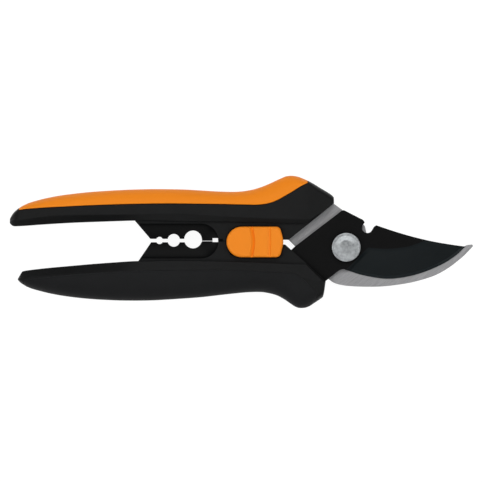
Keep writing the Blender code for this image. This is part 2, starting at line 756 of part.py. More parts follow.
# ---- lock and spring ------------------------------------------------------------------------


def slider_outline(inset=0.0):
    """Thumb slide seen from the front: a half round left end, and a bowed right end."""
    half = SLIDER_HALF - inset
    left = SLIDER_LEFT + SLIDER_HALF
    corner, bow = 2.1, 0.9
    right = SLIDER_RIGHT - inset
    line = arc(left, SLIDER_Y, half, 90, 270, 14)
    line += arc(right - corner - bow, SLIDER_Y - half + corner, corner, -90, -12, 5)
    line += [(right, SLIDER_Y)]
    return line + arc(right - corner - bow, SLIDER_Y + half - corner, corner, 12, 90, 5)


def lock_slider():
    """The orange thumb slide, with the stem that carries the latch plate."""
    low = MID_Z + WEB_FRONT + FIT
    steps = ((0, 0), (0, 0.55), (0.35, 0.8), (1.2, 1))
    rings = []
    for inset, rise in steps:
        rings.append([(x, y, low + SLIDER_RISE * rise) for x, y in slider_outline(inset)])
    slider = make("lock_slider", stack(rings), "orange", centre=(STEM_X, STEM_Y, low))
    half, side = STEM_LENGTH / 2, STEM_WIDTH / 2
    shoulder = foot_z() + FOOT_THICK + 0.05
    stem = box((STEM_X - half, STEM_Y - side, shoulder), (STEM_X + half, STEM_Y + side, low + 1))
    join(slider, stem, "stem")
    half, side = half - PEG_SHRINK, side - PEG_SHRINK
    peg = box((STEM_X - half, STEM_Y - side, foot_z()), (STEM_X + half, STEM_Y + side, low + 0.8))
    join(slider, peg, "peg")
    floor = low + SLIDER_RISE - GROOVE_DEPTH
    for number, (x, bulge) in enumerate(((-36.6, 1.3), (-30.9, 0.3)), 1):
        reach = SLIDER_HALF + 1
        front = smooth([(x - bulge, SLIDER_Y - reach), (x, SLIDER_Y), (x - bulge, SLIDER_Y + reach)], 4)
        wide = [(px - GROOVE_HALF, py) for px, py in front]
        wide += [(px + GROOVE_HALF, py) for px, py in reversed(front)]
        cut(slider, slab(wide, floor, floor + 5), f"groove_{number}")
    return slider


def lock_foot():
    """The latch plate under the web: a bar on the slider's stem, with a hooked tongue."""
    low, high = foot_z(), foot_z() + FOOT_THICK
    left, right = STEM_X - TONGUE_WIDTH / 2, STEM_X + TONGUE_WIDTH / 2
    bar = PART_Y - 2 * FIT
    hook = TONGUE_TOP - HOOK_THICK
    outline = [(FOOT_LEFT, FOOT_LOW), (FOOT_RIGHT, FOOT_LOW), (FOOT_RIGHT, bar), (right, bar)]
    outline += [(right, hook), (right + HOOK_LENGTH, hook), (right + HOOK_LENGTH, TONGUE_TOP)]
    outline += [(left, TONGUE_TOP), (left, bar), (FOOT_LEFT, bar)]
    foot = make("lock_foot", slab(outline, low, high), "spring", centre=(STEM_X, STEM_Y, low))
    half, side = STEM_LENGTH / 2 - PEG_SHRINK + FIT, STEM_WIDTH / 2 - PEG_SHRINK + FIT
    hole = box((STEM_X - half, STEM_Y - side, low - 1), (STEM_X + half, STEM_Y + side, high + 1))
    cut(foot, hole, "peg_hole")
    return foot


def keeper_place():
    x = STEM_X + TONGUE_WIDTH / 2 + HOOK_LENGTH - KEEPER_R
    return (x, TONGUE_TOP - HOOK_THICK - KEEPER_R - FIT)


def keeper_bore():
    x, y = keeper_place()
    return cylinder(x, y, KEEPER_R + FIT, keeper_top() - KEEPER_LENGTH - FIT, keeper_top(), 16)


def keeper_top():
    return foot_z() - FIT


def keeper_pin():
    """Low steel stud in the upper handle, just behind the hook."""
    x, y = keeper_place()
    bm = cylinder(x, y, KEEPER_R, keeper_top() - KEEPER_LENGTH, keeper_top(), 16)
    return make("keeper_pin", bm, "zinc")


def return_spring():
    """A coil along Y, with its ends drawn in flat."""
    radius = SPRING_R - SPRING_WIRE / 2
    per_turn, sides = 12, 6
    count = SPRING_TURNS * per_turn
    low, high = SPRING_BOTTOM + SPRING_WIRE / 2, SPRING_TOP - SPRING_WIRE / 2
    rings = []
    for k in range(count + 1):
        angle = 2 * pi * k / per_turn
        y = low + (high - low) * k / count
        out = (cos(angle), sin(angle))
        section = []
        for j in range(sides):
            a = 2 * pi * j / sides
            r = radius + SPRING_WIRE / 2 * cos(a)
            section.append((SPRING_X + r * out[0], y + SPRING_WIRE / 2 * sin(a), spring_z() + r * out[1]))
        rings.append(section)
    return make("return_spring", stack(rings), "spring")


# ---- assembly -------------------------------------------------------------------------------


def hang(obj, parent):
    """Parents the object without moving it."""
    obj.parent = parent
    obj.location = obj.location - parent.location


def pivot_point():
    pivot = bpy.data.objects.new("upper_half_pivot", None)
    pivot.location = Vector((0, 0, MID_Z)) * MM
    bpy.context.scene.collection.objects.link(pivot)
    return pivot


def main():
    for obj in list(bpy.data.objects):
        bpy.data.objects.remove(obj, do_unlink=True)
    up, down = upper(), lower()
    pivot = pivot_point()

    upper_core = handle_core(up, rear_outline(), REAR_Z, UPPER_FACE, UPPER_FACE_TURN, UPPER_PINS)
    upper_grip = make("upper_grip", up.grip(), "orange")
    cut(upper_core, keeper_bore(), "keeper_bore")
    rear = rear_blade()
    tang_holes(rear, UPPER_PINS)
    for obj in (upper_core, upper_grip, rear, pivot_rings(), keeper_pin()):
        hang(obj, pivot)
    tang_pins(up, UPPER_PINS, pivot)

    lower_core = handle_core(down, front_outline(), FRONT_Z, LOWER_FACE, LOWER_FACE_TURN, LOWER_PINS)
    cut(lower_core, stem_slot(), "stem_slot")
    make("lower_grip", down.grip(), "soft")
    front = front_blade()
    tang_holes(front, LOWER_PINS)
    tang_pins(down, LOWER_PINS, None)
    pivot_rivet()
    stop_pin()
    lock_slider()
    lock_foot()
    return_spring()


main()
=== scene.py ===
from math import asin, cos, degrees, hypot, pi, radians, sin, tan

import bmesh
import bpy
import numpy as np
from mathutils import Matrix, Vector


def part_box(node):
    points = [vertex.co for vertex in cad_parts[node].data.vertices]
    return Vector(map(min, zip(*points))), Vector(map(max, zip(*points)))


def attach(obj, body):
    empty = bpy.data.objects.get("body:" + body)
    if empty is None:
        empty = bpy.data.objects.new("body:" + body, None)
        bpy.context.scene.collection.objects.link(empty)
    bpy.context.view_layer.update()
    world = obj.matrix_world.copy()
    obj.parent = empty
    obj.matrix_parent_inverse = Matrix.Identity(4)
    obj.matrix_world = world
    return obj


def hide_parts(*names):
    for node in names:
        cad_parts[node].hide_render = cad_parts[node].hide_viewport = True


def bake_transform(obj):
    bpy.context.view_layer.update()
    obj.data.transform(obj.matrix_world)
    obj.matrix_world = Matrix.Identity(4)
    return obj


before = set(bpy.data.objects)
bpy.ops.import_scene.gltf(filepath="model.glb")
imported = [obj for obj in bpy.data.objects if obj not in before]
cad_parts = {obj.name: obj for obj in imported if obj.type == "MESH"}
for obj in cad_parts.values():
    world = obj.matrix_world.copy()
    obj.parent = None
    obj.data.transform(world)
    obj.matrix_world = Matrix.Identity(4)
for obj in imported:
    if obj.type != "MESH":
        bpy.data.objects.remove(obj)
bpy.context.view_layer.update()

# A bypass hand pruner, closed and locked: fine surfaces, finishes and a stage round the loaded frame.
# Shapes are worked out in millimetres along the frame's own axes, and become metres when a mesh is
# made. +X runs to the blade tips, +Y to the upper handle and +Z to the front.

bl_info = {
    "name": "Bypass Hand Pruner",
    "version": (1, 0, 0),
    "blender": (4, 5, 0),
    "location": "3D View > Sidebar > Pruner",
    "description": "Builds the fine surfaces of a bypass hand pruner round its loaded frame",
    "category": "Object",
}

MM = 0.001


def span(node):
    """Lowest and highest corner of one of the frame's nodes, in millimetres."""
    low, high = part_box(node)
    return low / MM, high / MM


def centre(low, high):
    """Middle of a box, from its two corners."""
    return [(a + b) / 2 for a, b in zip(low, high)]


# ---- sizes taken from the frame ----

UPPER_LOW, UPPER_HIGH = span("upper_handle")
REAR_LOW, REAR_HIGH = span("rear_blade")
FRONT_LOW, FRONT_HIGH = span("front_blade")
RIVET_LOW, RIVET_HIGH = span("pivot_rivet")
SLIDER_LOW, SLIDER_HIGH = span("lock_slider")
SPRING_LOW, SPRING_HIGH = span("return_spring")
FOOT_LOW, FOOT_HIGH = span("lock_foot")
PIN_LOW, PIN_HIGH = span("upper_tang_pin_1")

UPPER_REACH = -UPPER_LOW.x
LOWER_REACH = -span("lower_handle")[0].x
BLADE_REACH = REAR_HIGH.x
FRONT_REACH = FRONT_HIGH.x
HALF_DEPTH = (UPPER_HIGH.z - UPPER_LOW.z) / 2
MID_Z = (UPPER_HIGH.z + UPPER_LOW.z) / 2
REAR_Z = REAR_LOW.z
FRONT_Z = FRONT_LOW.z
PLATE_THICK = FRONT_HIGH.z - FRONT_Z
REAR_TOP = REAR_HIGH.z

# ---- sizes that the frame's boxes don't give ----

FIT = 0.3
PARTING = 0.16
PART_Y = 2.48  # line on which the handles meet
WORK_REACH = 84.0  # pivot to where the web starts
GRIP_WALL = 2.2
RIB_HALF = 3.0
END_ROUND = 2.6
UPPER_FACE, UPPER_FACE_TURN = 16.7, 128.8
LOWER_FACE, LOWER_FACE_TURN = 15.5, 228.0
WEB_FRONT = 4.85  # web's front face above the middle plane
WEB_BACK = 6.0  # web's back face below it
DISH_DEPTH = 1.8
DISH_R = 7.0
DISH_X = -58.0
CHANNEL_UP, CHANNEL_DOWN = 0.85, 0.5
THROAT_UP, THROAT_DOWN, THROAT_X = 0.48, 1.4, -27.0
HOLES = ((-74.6, 2.7, 1.45), (-68.9, 2.75, 2.55), (-61.2, 3.1, 3.55))
STOP_LEFT, SLOT_LEFT, SLOT_RIGHT = -57.6, -53.4, -51.2
SLOT_UP, SLOT_DOWN = 1.14, 0.42
SLIDER_TRAVEL = 5.0
SLIDER_GROOVES = ((-36.5, 1.0, 1.0), (-30.1, 0.3, 0.55))  # place along X, bow, share of the depth
STEM_X, STEM_Y = -38.5, -1.6
STEM_LENGTH, STEM_WIDTH, PEG_SHRINK = 5.0, 2.6, 0.7
BED_GAP, BED_DEPTH = 0.45, 0.7  # the shallow bed that the slide runs in
LATCH_RIGHT = -34.0
TONGUE_HALF, CHANNEL_SIDE = 1.6, 1.3  # the latch's tongue, and the room beside it
LIP_HALF, LIP_RISE = 1.0, 0.6  # the lower web's lip, in Z and over the parting line
PIN_R = 1.25
SHANK_R = 3.0
STOP_PIN_R, STOP_PIN_REACH = 1.5, 9.6
OPEN_ANGLE = 26.0
NOTCH = ((7.4, 9.8), (6.5, 8.6), (6.4, 7.2), (7.2, 6.1), (8.6, 5.7), (9.9, 6.2), (11.2, 8.2))
SPRING_TURNS = 9


# ---- curves and outlines ----


def curve(points):
    """A smooth curve through (x, value) points that never swings past them."""
    xs, ys = np.array(sorted(points), float).T
    slopes = np.diff(ys) / np.diff(xs)
    tangent = np.concatenate([slopes[:1], np.zeros(len(xs) - 2), slopes[-1:]])
    for i in range(1, len(xs) - 1):
        before, after = slopes[i - 1], slopes[i]
        if before * after > 0:
            tangent[i] = 2 * before * after / (before + after)

    def value(x):
        x = min(max(x, xs[0]), xs[-1])
        i = min(max(int(np.searchsorted(xs, x)) - 1, 0), len(xs) - 2)
        width = xs[i + 1] - xs[i]
        t = (x - xs[i]) / width
        return float(
            (1 + 2 * t) * (1 - t) ** 2 * ys[i]
            + t * (1 - t) ** 2 * width * tangent[i]
            + t * t * (3 - 2 * t) * ys[i + 1]
            + t * t * (t - 1) * width * tangent[i + 1]
        )

    return value


def smooth(points, steps=8):
    """The points, with a rounded line through them."""
    ends = [2 * np.array(points[0]) - points[1], *points, 2 * np.array(points[-1]) - points[-2]]
    line = []
    for a, b, c, d in zip(ends, ends[1:], ends[2:], ends[3:]):
        a, b, c, d = (np.array(p, float) for p in (a, b, c, d))
        for t in np.arange(steps) / steps:
            line.append(
                0.5 * (2 * b + (c - a) * t + (2 * a - 5 * b + 4 * c - d) * t**2)
                + 0.5 * (3 * b - a - 3 * c + d) * t**3
            )
    return [tuple(p) for p in line] + [tuple(points[-1])]


def resample(line, count):
    """The line as count points, evenly spaced along it."""
    line = np.array(line)
    run = np.concatenate([[0], np.cumsum(np.hypot(*np.diff(line, axis=0).T))])
    at = np.linspace(0, run[-1], count)
    return [(float(np.interp(s, run, line[:, 0])), float(np.interp(s, run, line[:, 1]))) for s in at]


def arc(cx, cy, radius, start, end, steps=24):
    """Points on a round arc, angles in degrees."""
    turns = [radians(start + (end - start) * k / steps) for k in range(steps + 1)]
    return [(cx + radius * cos(a), cy + radius * sin(a)) for a in turns]


def offset(outline, distance):
    """The outline moved outwards by distance on every side."""
    pts = [np.array(p, float) for p in outline]
    area = sum(a[0] * b[1] - b[0] * a[1] for a, b in zip(pts, pts[1:] + pts[:1]))
    side = 1 if area > 0 else -1
    moved = []
    for before, here, after in zip(pts[-1:] + pts[:-1], pts, pts[1:] + pts[:1]):
        one, two = here - before, after - here
        n1 = side * np.array([one[1], -one[0]]) / hypot(*one)
        n2 = side * np.array([two[1], -two[0]]) / hypot(*two)
        mean = n1 + n2
        moved.append(tuple(here + mean * min(2 / max(mean @ mean, 1e-6), 1.5) * distance))
    return moved


def rounded(corners, steps=5):
    """A line through (x, y, radius) corners, each but the ends rounded by its radius."""
    line = [corners[0][:2]]
    for before, here, after in zip(corners, corners[1:], corners[2:]):
        a, b, c = (np.array(p[:2], float) for p in (before, here, after))
        to_a, to_c = a - b, c - b
        long_a, long_c = max(hypot(*to_a), 1e-9), max(hypot(*to_c), 1e-9)
        bend = np.arccos(np.clip(to_a @ to_c / (long_a * long_c), -1, 1))
        reach = min(here[2] / max(tan(bend / 2), 1e-3), 0.45 * long_a, 0.45 * long_c)
        start, end = b + to_a / long_a * reach, b + to_c / long_c * reach
        for t in np.arange(steps + 1) / steps:
            line.append(tuple((1 - t) ** 2 * start + 2 * t * (1 - t) * b + t * t * end))
    return line + [corners[-1][:2]]


def straight(start, end, count):
    """Points from just after start up to end."""
    shares = [k / count for k in range(1, count + 1)]
    return [tuple(a + (b - a) * share for a, b in zip(start, end)) for share in shares]


def turned(points, angle):
    """The points turned about the pivot, anticlockwise, in degrees."""
    c, s = cos(radians(angle)), sin(radians(angle))
    return [(c * x - s * y, s * x + c * y) for x, y in points]


def along_blade(share, y, root=8.0):
    """A point on the blades past the pivot: share of the way from the root to the tip."""
    return (root + share * (BLADE_REACH - root), y)


# ---- meshes ----


def make(name, bm, finishes=()):
    """An object from a bmesh in millimetres."""
    bmesh.ops.remove_doubles(bm, verts=bm.verts, dist=1e-4)
    bmesh.ops.recalc_face_normals(bm, faces=bm.faces)
    bmesh.ops.scale(bm, vec=(MM, MM, MM), verts=bm.verts)
    mesh = bpy.data.meshes.new(name)
    bm.to_mesh(mesh)
    bm.free()
    for finish in finishes:
        mesh.materials.append(finish)
    piece = bpy.data.objects.new(name, mesh)
    bpy.context.scene.collection.objects.link(piece)
    return piece


def soften(piece, angle=32):
    """Smooth shading, except where faces meet sharply; flat faces keep flat shading."""
    piece.data.shade_smooth()
    piece.data.set_sharp_from_angle(angle=radians(angle))
    even = piece.modifiers.new("even_shading", "WEIGHTED_NORMAL")
    even.keep_sharp = True
    even.weight = 60
    return piece


def settle(piece, body, slot, *nodes):
    """Rides the piece on its body and puts it in place of the frame's nodes; slot is not used."""
    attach(piece, body)
    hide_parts(*nodes)
    return piece


def stack(rings, closed=False):
    """A closed bmesh through rings of equally many points, capped unless it closes on itself."""
    bm = bmesh.new()
    layers = [[bm.verts.new(p) for p in ring] for ring in rings]
    pairs = list(zip(layers, layers[1:]))
    if closed:
        pairs.append((layers[-1], layers[0]))
    for low, high in pairs:
        for i in range(len(low)):
            j = (i + 1) % len(low)
            bm.faces.new((low[i], low[j], high[j], high[i]))
    if not closed:
        bm.faces.new(layers[0])
        bm.faces.new(layers[-1])
    return bm


def slab(outline, low, high):
    """An outline in X and Y, from one height to another."""
    return stack([[(x, y, z) for x, y in outline] for z in (low, high)])


def edged_slab(outline, low, high, edge, steps=3):
    """A slab whose front and back edges are rounded by edge."""
    rings = []
    for k in range(steps + 1):
        a = pi / 2 * k / steps
        rings.append((edge * (1 - sin(a)), low + edge * (1 - cos(a))))
    rings += [(inset, low + high - z) for inset, z in reversed(rings)]
    return stack([[(x, y, z) for x, y in offset(outline, -inset)] for inset, z in rings])


def cylinder(x, y, radius, low, high, steps=48):
    return slab(arc(x, y, radius, 0, 360 * (steps - 1) / steps, steps - 1), low, high)


def block(low, high):
    (x0, y0, z0), (x1, y1, z1) = low, high
    return slab([(x0, y0), (x1, y0), (x1, y1), (x0, y1)], z0, z1)


def turning(profile, x=0.0, y=0.0, steps=96):
    """A round piece turned about Z: profile is (radius, z) points, closed round a bore."""
    bm = bmesh.new()
    rings = []
    for radius, z in profile:
        if radius == 0:
            rings.append([bm.verts.new((x, y, z))] * steps)
            continue
        rings.append([bm.verts.new((*p, z)) for p in arc(x, y, radius, 0, 360, steps)[:-1]])
    if all(radius for radius, _ in profile):
        rings.append(rings[0])
    for low, high in zip(rings, rings[1:]):
        for i in range(steps):
            j = (i + 1) % steps
            corners = list(dict.fromkeys((low[i], low[j], high[j], high[i])))
            if len(corners) > 2:
                bm.faces.new(corners)
    return bm


def combine(piece, bm, operation="DIFFERENCE", finishes=()):
    """Cuts a solid from the piece, or joins it on; the new faces can have a finish of their own."""
    tool = make("tool", bm, finishes)
    change = piece.modifiers.new("change", "BOOLEAN")
    change.material_mode = "TRANSFER" if finishes else "INDEX"
    change.operation = operation
    change.solver = "EXACT"
    change.object = tool
    seen = piece.evaluated_get(bpy.context.evaluated_depsgraph_get())
    result = bpy.data.meshes.new_from_object(seen)
    piece.modifiers.remove(change)
    old, piece.data = piece.data, result
    bpy.data.meshes.remove(old)
    bpy.data.objects.remove(tool, do_unlink=True)
    if not piece.data.polygons:
        raise RuntimeError(f"nothing is left of {piece.name} after a cut")


# ---- handle shapes ----


class Handle:
    """One handle's shape. Heights v run outwards from the middle of the tool, so the lower
    handle uses the same words with y = -v. Tail points are (share of the tail, v)."""

    def __init__(self, name, side, reach, outer, split, crease, inner, grip_ends, sizes, **form):
        self.name, self.side, self.reach, self.sizes = name, side, reach, sizes
        self.gap, self.crown_start = form["gap"], form["crown_start"]
        self.front_end, self.crease_share = form["front_end"], form["crease_share"]
        self.proud, self.rim, self.fall = form["proud"], form["rim"], form["fall"]
        self.outer, self.split, self.crease, self.inner = (
            curve([(self.tail(share), v) for share, v in tail] + list(work))
            for tail, work in (outer, split, crease, inner)
        )
        self.grip_left, self.grip_right = self.tail(grip_ends[0]), grip_ends[1]
        self.lean = curve([(-WORK_REACH - 8, 0.72), (-WORK_REACH + 2, 0.86)])
        depth = ((0, 1), (0.48, 1), (0.7, 0.946), (0.84, 0.851), (0.93, 0.73), (0.98, 0.527), (1, 0.324))
        front = ((-30, 1), (-20, 0.98), (-12, 0.932), (-5, 0.851))
        self.depth = curve(
            [(self.tail(share), d * HALF_DEPTH) for share, d in depth]
            + [(x, d * HALF_DEPTH) for x, d in front]
        )

    def tail(self, share):
        return -WORK_REACH - share * (self.reach - WORK_REACH)

    def rib(self, x):
        """How far the handle's rib goes into the grip."""
        return max(self.outer(x) - self.split(x) - GRIP_WALL, 0.6)

    def back_round(self, x):
        """Rounding of the bare moulding's back: as wide as the grip beside it, then END_ROUND."""
        near = self.grip_left if x < self.grip_left else self.grip_right
        start = self.outer(near) - self.split(near)
        return start + (END_ROUND - start) * min(abs(x - near) / 4, 1)

    def drop(self, x):
        """How far the side face falls from its crease to the grip."""
        return min(self.fall * max(self.split(x) - self.crease(x), 0), 1.2)

    def place(self, x, section):
        return [(x, self.side * v, MID_Z + z) for v, z in section]

    def core_ring(self, x, ribbed):
        """The moulding's section: leaning inner face, flat side face, then the rib or a round back."""
        low, top = self.inner(x), self.outer(x)
        face = self.depth(x) - self.proud
        lean = self.lean(x) * face
        split = self.split(x) - self.gap
        shoulder = max(low + 0.5 * (top - low), top - self.back_round(x))
        end = split if ribbed else shoulder
        crease = min(self.crease(x), low + self.crease_share * (end - low))
        low_end = face - self.drop(x)
        half = rounded(
            [(low, 0, 0), (low, lean, self.sizes.edge_round), (crease, face, 0.7), (end, low_end, 0)], 6
        )[:-1]
        if ribbed:
            rib = split + self.rib(x)
            half += rounded([(crease, face, 0), (split, low_end, 0.12), (split, RIB_HALF, 0)], 5)[1:-1]
            half += straight((split, low_end - 0.12), (split, RIB_HALF), 3)
            half += straight((split, RIB_HALF), (rib, RIB_HALF), 4)
            half += straight((rib, RIB_HALF), (rib, 0), 5)
        else:
            for a in (pi / 2 * k / 17 for k in range(18)):
                half.append((shoulder + (top - shoulder) * sin(a) ** 0.9, low_end * cos(a) ** 0.75))
        return self.place(x, half + [(v, -z) for v, z in reversed(half[1:-1])])

    def grip_ring(self, x):
        """The soft grip's section: a small raised rim, a full crown and the groove for the rib."""
        split, width = self.split(x), self.outer(x) - self.split(x)
        depth = self.depth(x) - self.drop(x)
        slot, half = split + self.rib(x), RIB_HALF + FIT
        first = radians(self.crown_start)
        start_v, start_z = sin(first) ** 0.95, cos(first) ** 0.95
        crown = []
        for k in range(1, 26):
            a = first + (pi / 2 - first) * k / 26
            v = (sin(a) ** 0.95 - start_v) / (1 - start_v)
            crown.append((split + width * v, depth * cos(a) ** 0.95 / start_z))
        rim = rounded([(split, half, 0), (split, depth, self.rim), (*crown[1], 0)], 6)[:-1]
        outside = rim + crown[1:]
        outside += [(split + width, 0)] + [(v, -z) for v, z in reversed(outside)]
        return self.place(x, outside + [(slot, -half), (slot, half)])

    def stations(self, left, right):
        """Places along the handle, closer together where it curves most."""
        places, x = [left], left
        while x < right:
            bent = x < 6 - self.reach or x > -38
            x += 0.45 if bent else 1.2
            places.append(x)
        return [x for x in places if x < right - 0.2] + [right]

    def core(self):
        gap = 0.12
        left, right = self.grip_left, self.grip_right
        rings = [self.core_ring(x, False) for x in self.stations(-self.reach, left - gap)]
        rings += [self.core_ring(x, True) for x in self.stations(left, right)]
        rings += [self.core_ring(x, False) for x in self.stations(right + gap, self.front_end)]
        return stack(rings)

    def grip(self):
        return stack([self.grip_ring(x) for x in self.stations(self.grip_left, self.grip_right)])


def upper(sizes):
    return Handle(
        "upper",
        1,
        UPPER_REACH,
        outer=(
            ((1, 11.4), (0.984, 12.9), (0.965, 14.1), (0.94, 15.2), (0.9, 16.55), (0.86, 17.5))
            + ((0.83, 18.05), (0.7, 19.75), (0.55, 21.05), (0.3, 22.33), (0, 23.1)),
            ((-76, 23.25), (-66, 23.12), (-57, 22.65), (-50, 22.25), (-45, 22.15), (-42, 22.3))
            + ((-38, 22.9), (-34, 24.05), (-30, 25.7), (-26, 27.55), (-23.6, 28.45), (-21.8, 28.6))
            + ((-19.8, 28.36), (-17.4, 27.56), (-14, 25.95), (-10.2, 23.65), (-5.6, 20.75))
            + ((-4.9, 20.0),),
        ),
        split=(
            ((0.925, 14.9), (0.86, 15.35), (0.56, 16.28), (0.2, 17.05), (0, 17.32)),
            ((-70, 17.47), (-60, 17.37), (-50, 17.25), (-42, 17.06), (-36, 16.95), (-33, 17.2))
            + ((-30, 17.85), (-27.8, 18.67), (-24.6, 20.42), (-21.4, 22.29), (-18.2, 24.33))
            + ((-15, 26.0),),
        ),
        crease=(
            ((1, 10.4), (0.93, 10.9), (0.56, 12.8), (0.2, 13.0)),
            ((-84, 13.1), (-70, 13.4), (-50, 12.4), (-30, 11.5), (-5, 11.0)),
        ),
        inner=(
            ((1, 9.6), (0.985, 8.75), (0.965, 8.34), (0.92, 8.42), (0.76, 8.98), (0.6, 9.5))
            + ((0.44, 9.9), (0.3, 10.15), (0.13, 10.45)),
            ((-84, 10.62), (-70, 10.35), (-40, 9.9), (-18, 9.4), (-5, 9.3)),
        ),
        grip_ends=(0.925, -15.4),
        sizes=sizes,
        gap=sizes.grip_gap,
        crown_start=4,
        proud=sizes.rim_proud,
        rim=sizes.rim_round,
        fall=0.14,
        front_end=-4.9,
        crease_share=0.75,
    )


def lower(sizes):
    return Handle(
        "lower",
        -1,
        LOWER_REACH,
        outer=(
            ((1, 13.1), (0.98, 14.15), (0.95, 15.1), (0.925, 15.8), (0.88, 16.65), (0.82, 17.45))
            + ((0.72, 18.6), (0.6, 19.6), (0.44, 20.5), (0.29, 21.02), (0.1, 21.36)),
            ((-84, 21.39), (-78, 21.3), (-72, 21.0), (-66, 20.62), (-58, 20.02), (-50, 19.12))
            + ((-44, 18.46), (-39, 18.03), (-36, 17.93), (-34, 17.95), (-31, 18.38), (-28, 19.17))
            + ((-25, 20.68), (-22.2, 22.56), (-20.2, 23.85), (-18.4, 24.35), (-16.8, 24.3))
            + ((-15, 23.79), (-12.6, 22.27), (-10.2, 20.67), (-9.1, 19.7), (-8.25, 14.4)),
        ),
        split=(
            ((0.955, 13.1), (0.41, 10.6), (0, 9.6)),
            ((-66, 9.2), (-50, 9.1), (-33, 9.9), (-21, 10.6), (-17.4, 12.6), (-14, 16.1))
            + ((-11.2, 19.0),),
        ),
        crease=(
            ((1, 13.0), (0.955, 12.6), (0.41, 10.3), (0, 9.3)),
            ((-66, 8.9), (-50, 8.8), (-33, 9.5), (-21, 10.2), (-17.4, 12.0), (-8.25, 14.0)),
        ),
        inner=(
            ((1, 12.6), (0.983, 11.3), (0.963, 9.8), (0.955, 9.58), (0.86, 8.9), (0.76, 8.37))
            + ((0.546, 7.45), (0.356, 6.67), (0.144, 5.94), (0.04, 5.62)),
            ((-84, 5.55), (-70, 5.2), (-35, 5.9), (-18, 6.6), (-8, 6.6)),
        ),
        grip_ends=(0.955, -11.6),
        sizes=sizes,
        gap=0.02,
        crown_start=18,
        proud=0.0,
        rim=0.06,
        fall=0.0,
        front_end=-8.25,
        crease_share=0.93,
    )


def wing_edge(y, side):
    """The wings' inner edge at height y, with a round bite for each stripping hole."""
    line = []
    for cx, cy, radius in HOLES:
        lean = degrees(asin((y - cy) / radius))
        start, end = (180 - lean, lean) if side > 0 else (180 - lean, 360 + lean)
        line += arc(cx, cy, radius, start, end, 28)
    return line


def face_point(distance, turn, along):
    """A point on an end face, which lies distance from the pivot in the direction turn."""
    c, s = cos(radians(turn)), sin(radians(turn))
    return (distance * c + along * s, distance * s - along * c)


def web_outline(handle):
    """The flat web beside the blades, and the wing with the stripping holes."""
    side = handle.side
    meet = PART_Y + side * PARTING / 2
    channel = PART_Y + (CHANNEL_UP if side > 0 else -CHANNEL_DOWN)
    throat = PART_Y + (THROAT_UP if side > 0 else -THROAT_DOWN)
    slot = PART_Y + (SLOT_UP if side > 0 else -SLOT_DOWN)
    wing_left = -78.2 if side > 0 else -77.9
    web_left = -WORK_REACH - (0.4 if side > 0 else -1.0)
    inside = 1.6  # how far the web runs into the handle
    line = [(wing_left, channel), *wing_edge(channel, side), (STOP_LEFT, channel), (STOP_LEFT, meet)]
    line += [(SLOT_LEFT, meet), (SLOT_LEFT, slot), (SLOT_RIGHT, slot), (SLOT_RIGHT, meet)]
    line += [(THROAT_X - abs(throat - meet), meet), (THROAT_X, throat), (-6, throat)]
    back = np.linspace(-6, -WORK_REACH, 24)
    line += [(float(x), side * (handle.inner(x) + inside)) for x in back]
    return line + [(web_left, side * handle.inner(-WORK_REACH))]


def dish_outline():
    """The dish round the stripping holes: open at the left, round at the right."""
    left = -WORK_REACH - 14
    return [(left, PART_Y - DISH_R), *arc(DISH_X, PART_Y, DISH_R, -90, 90, 48), (left, PART_Y + DISH_R)]


def dish(floor, out):
    """The dish as a round-bottomed cutter: floor is its deepest height, out is +1 or -1 along Z."""
    rings = []
    for a in (pi / 2 * k / 24 for k in range(1, 25)):
        rise = 0.5 * (1 - cos(a)) + 0.5 * sin(a) ** 2
        rings.append((DISH_R * (1 - sin(a)), floor + out * DISH_DEPTH * rise))
    rings.append((0, floor + out * 20))
    return stack([[(x, y, z) for x, y in offset(dish_outline(), -inset)] for inset, z in rings])


def end_cut(distance, turn, chamfer):
    """A block that cuts a sloping end face, with rounded chamfers in front and behind."""
    reach, high = 60, HALF_DEPTH + 4
    edge = HALF_DEPTH - chamfer
    profile = [(-reach, -high, 0), (distance + high - edge, -high, 0), (distance, -edge, 0.6)]
    profile += [(distance, edge, 0.6), (distance + high - edge, high, 0), (-reach, high, 0)]
    rings = []
    for along in (-reach, reach):
        rings.append([(*face_point(d, turn, along), MID_Z + z) for d, z in rounded(profile)])
    return stack(rings)


def spring_pocket():
    """Bore along Y that holds the return spring in both handles."""
    x, _, z = centre(SPRING_LOW, SPRING_HIGH)
    radius = (SPRING_HIGH.x - SPRING_LOW.x) / 2 + FIT
    bore = arc(x, z, radius, 0, 360, 40)[:-1]
    return stack([[(px, y, pz) for px, pz in bore] for y in (SPRING_LOW.y - FIT, SPRING_HIGH.y + FIT)])


def latch_channel(side):
    """Room for the latch plate: deep in the lower handle, and for its tongue in the upper."""
    low, high = FOOT_LOW.z - 2 * FIT, FOOT_HIGH.z + FIT
    if side < 0:
        start = (FOOT_LOW.x - SLIDER_TRAVEL - FIT, FOOT_LOW.y - FIT, low)
        return block(start, (LATCH_RIGHT + FIT, PART_Y, high))
    left = STEM_X - TONGUE_HALF - SLIDER_TRAVEL - CHANNEL_SIDE
    return block((left, PART_Y, low), (FOOT_HIGH.x + CHANNEL_SIDE, FOOT_HIGH.y + 2 * FIT, high))


def stem_block(low, high, grow=0.0, travel=0.0):
    """The slide's stem from one height to another, grown on every side, with room to travel."""
    half, side = STEM_LENGTH / 2 + grow, STEM_WIDTH / 2 + grow
    start = (STEM_X - half - travel, STEM_Y - side, low)
    return block(start, (STEM_X + half, STEM_Y + side, high))


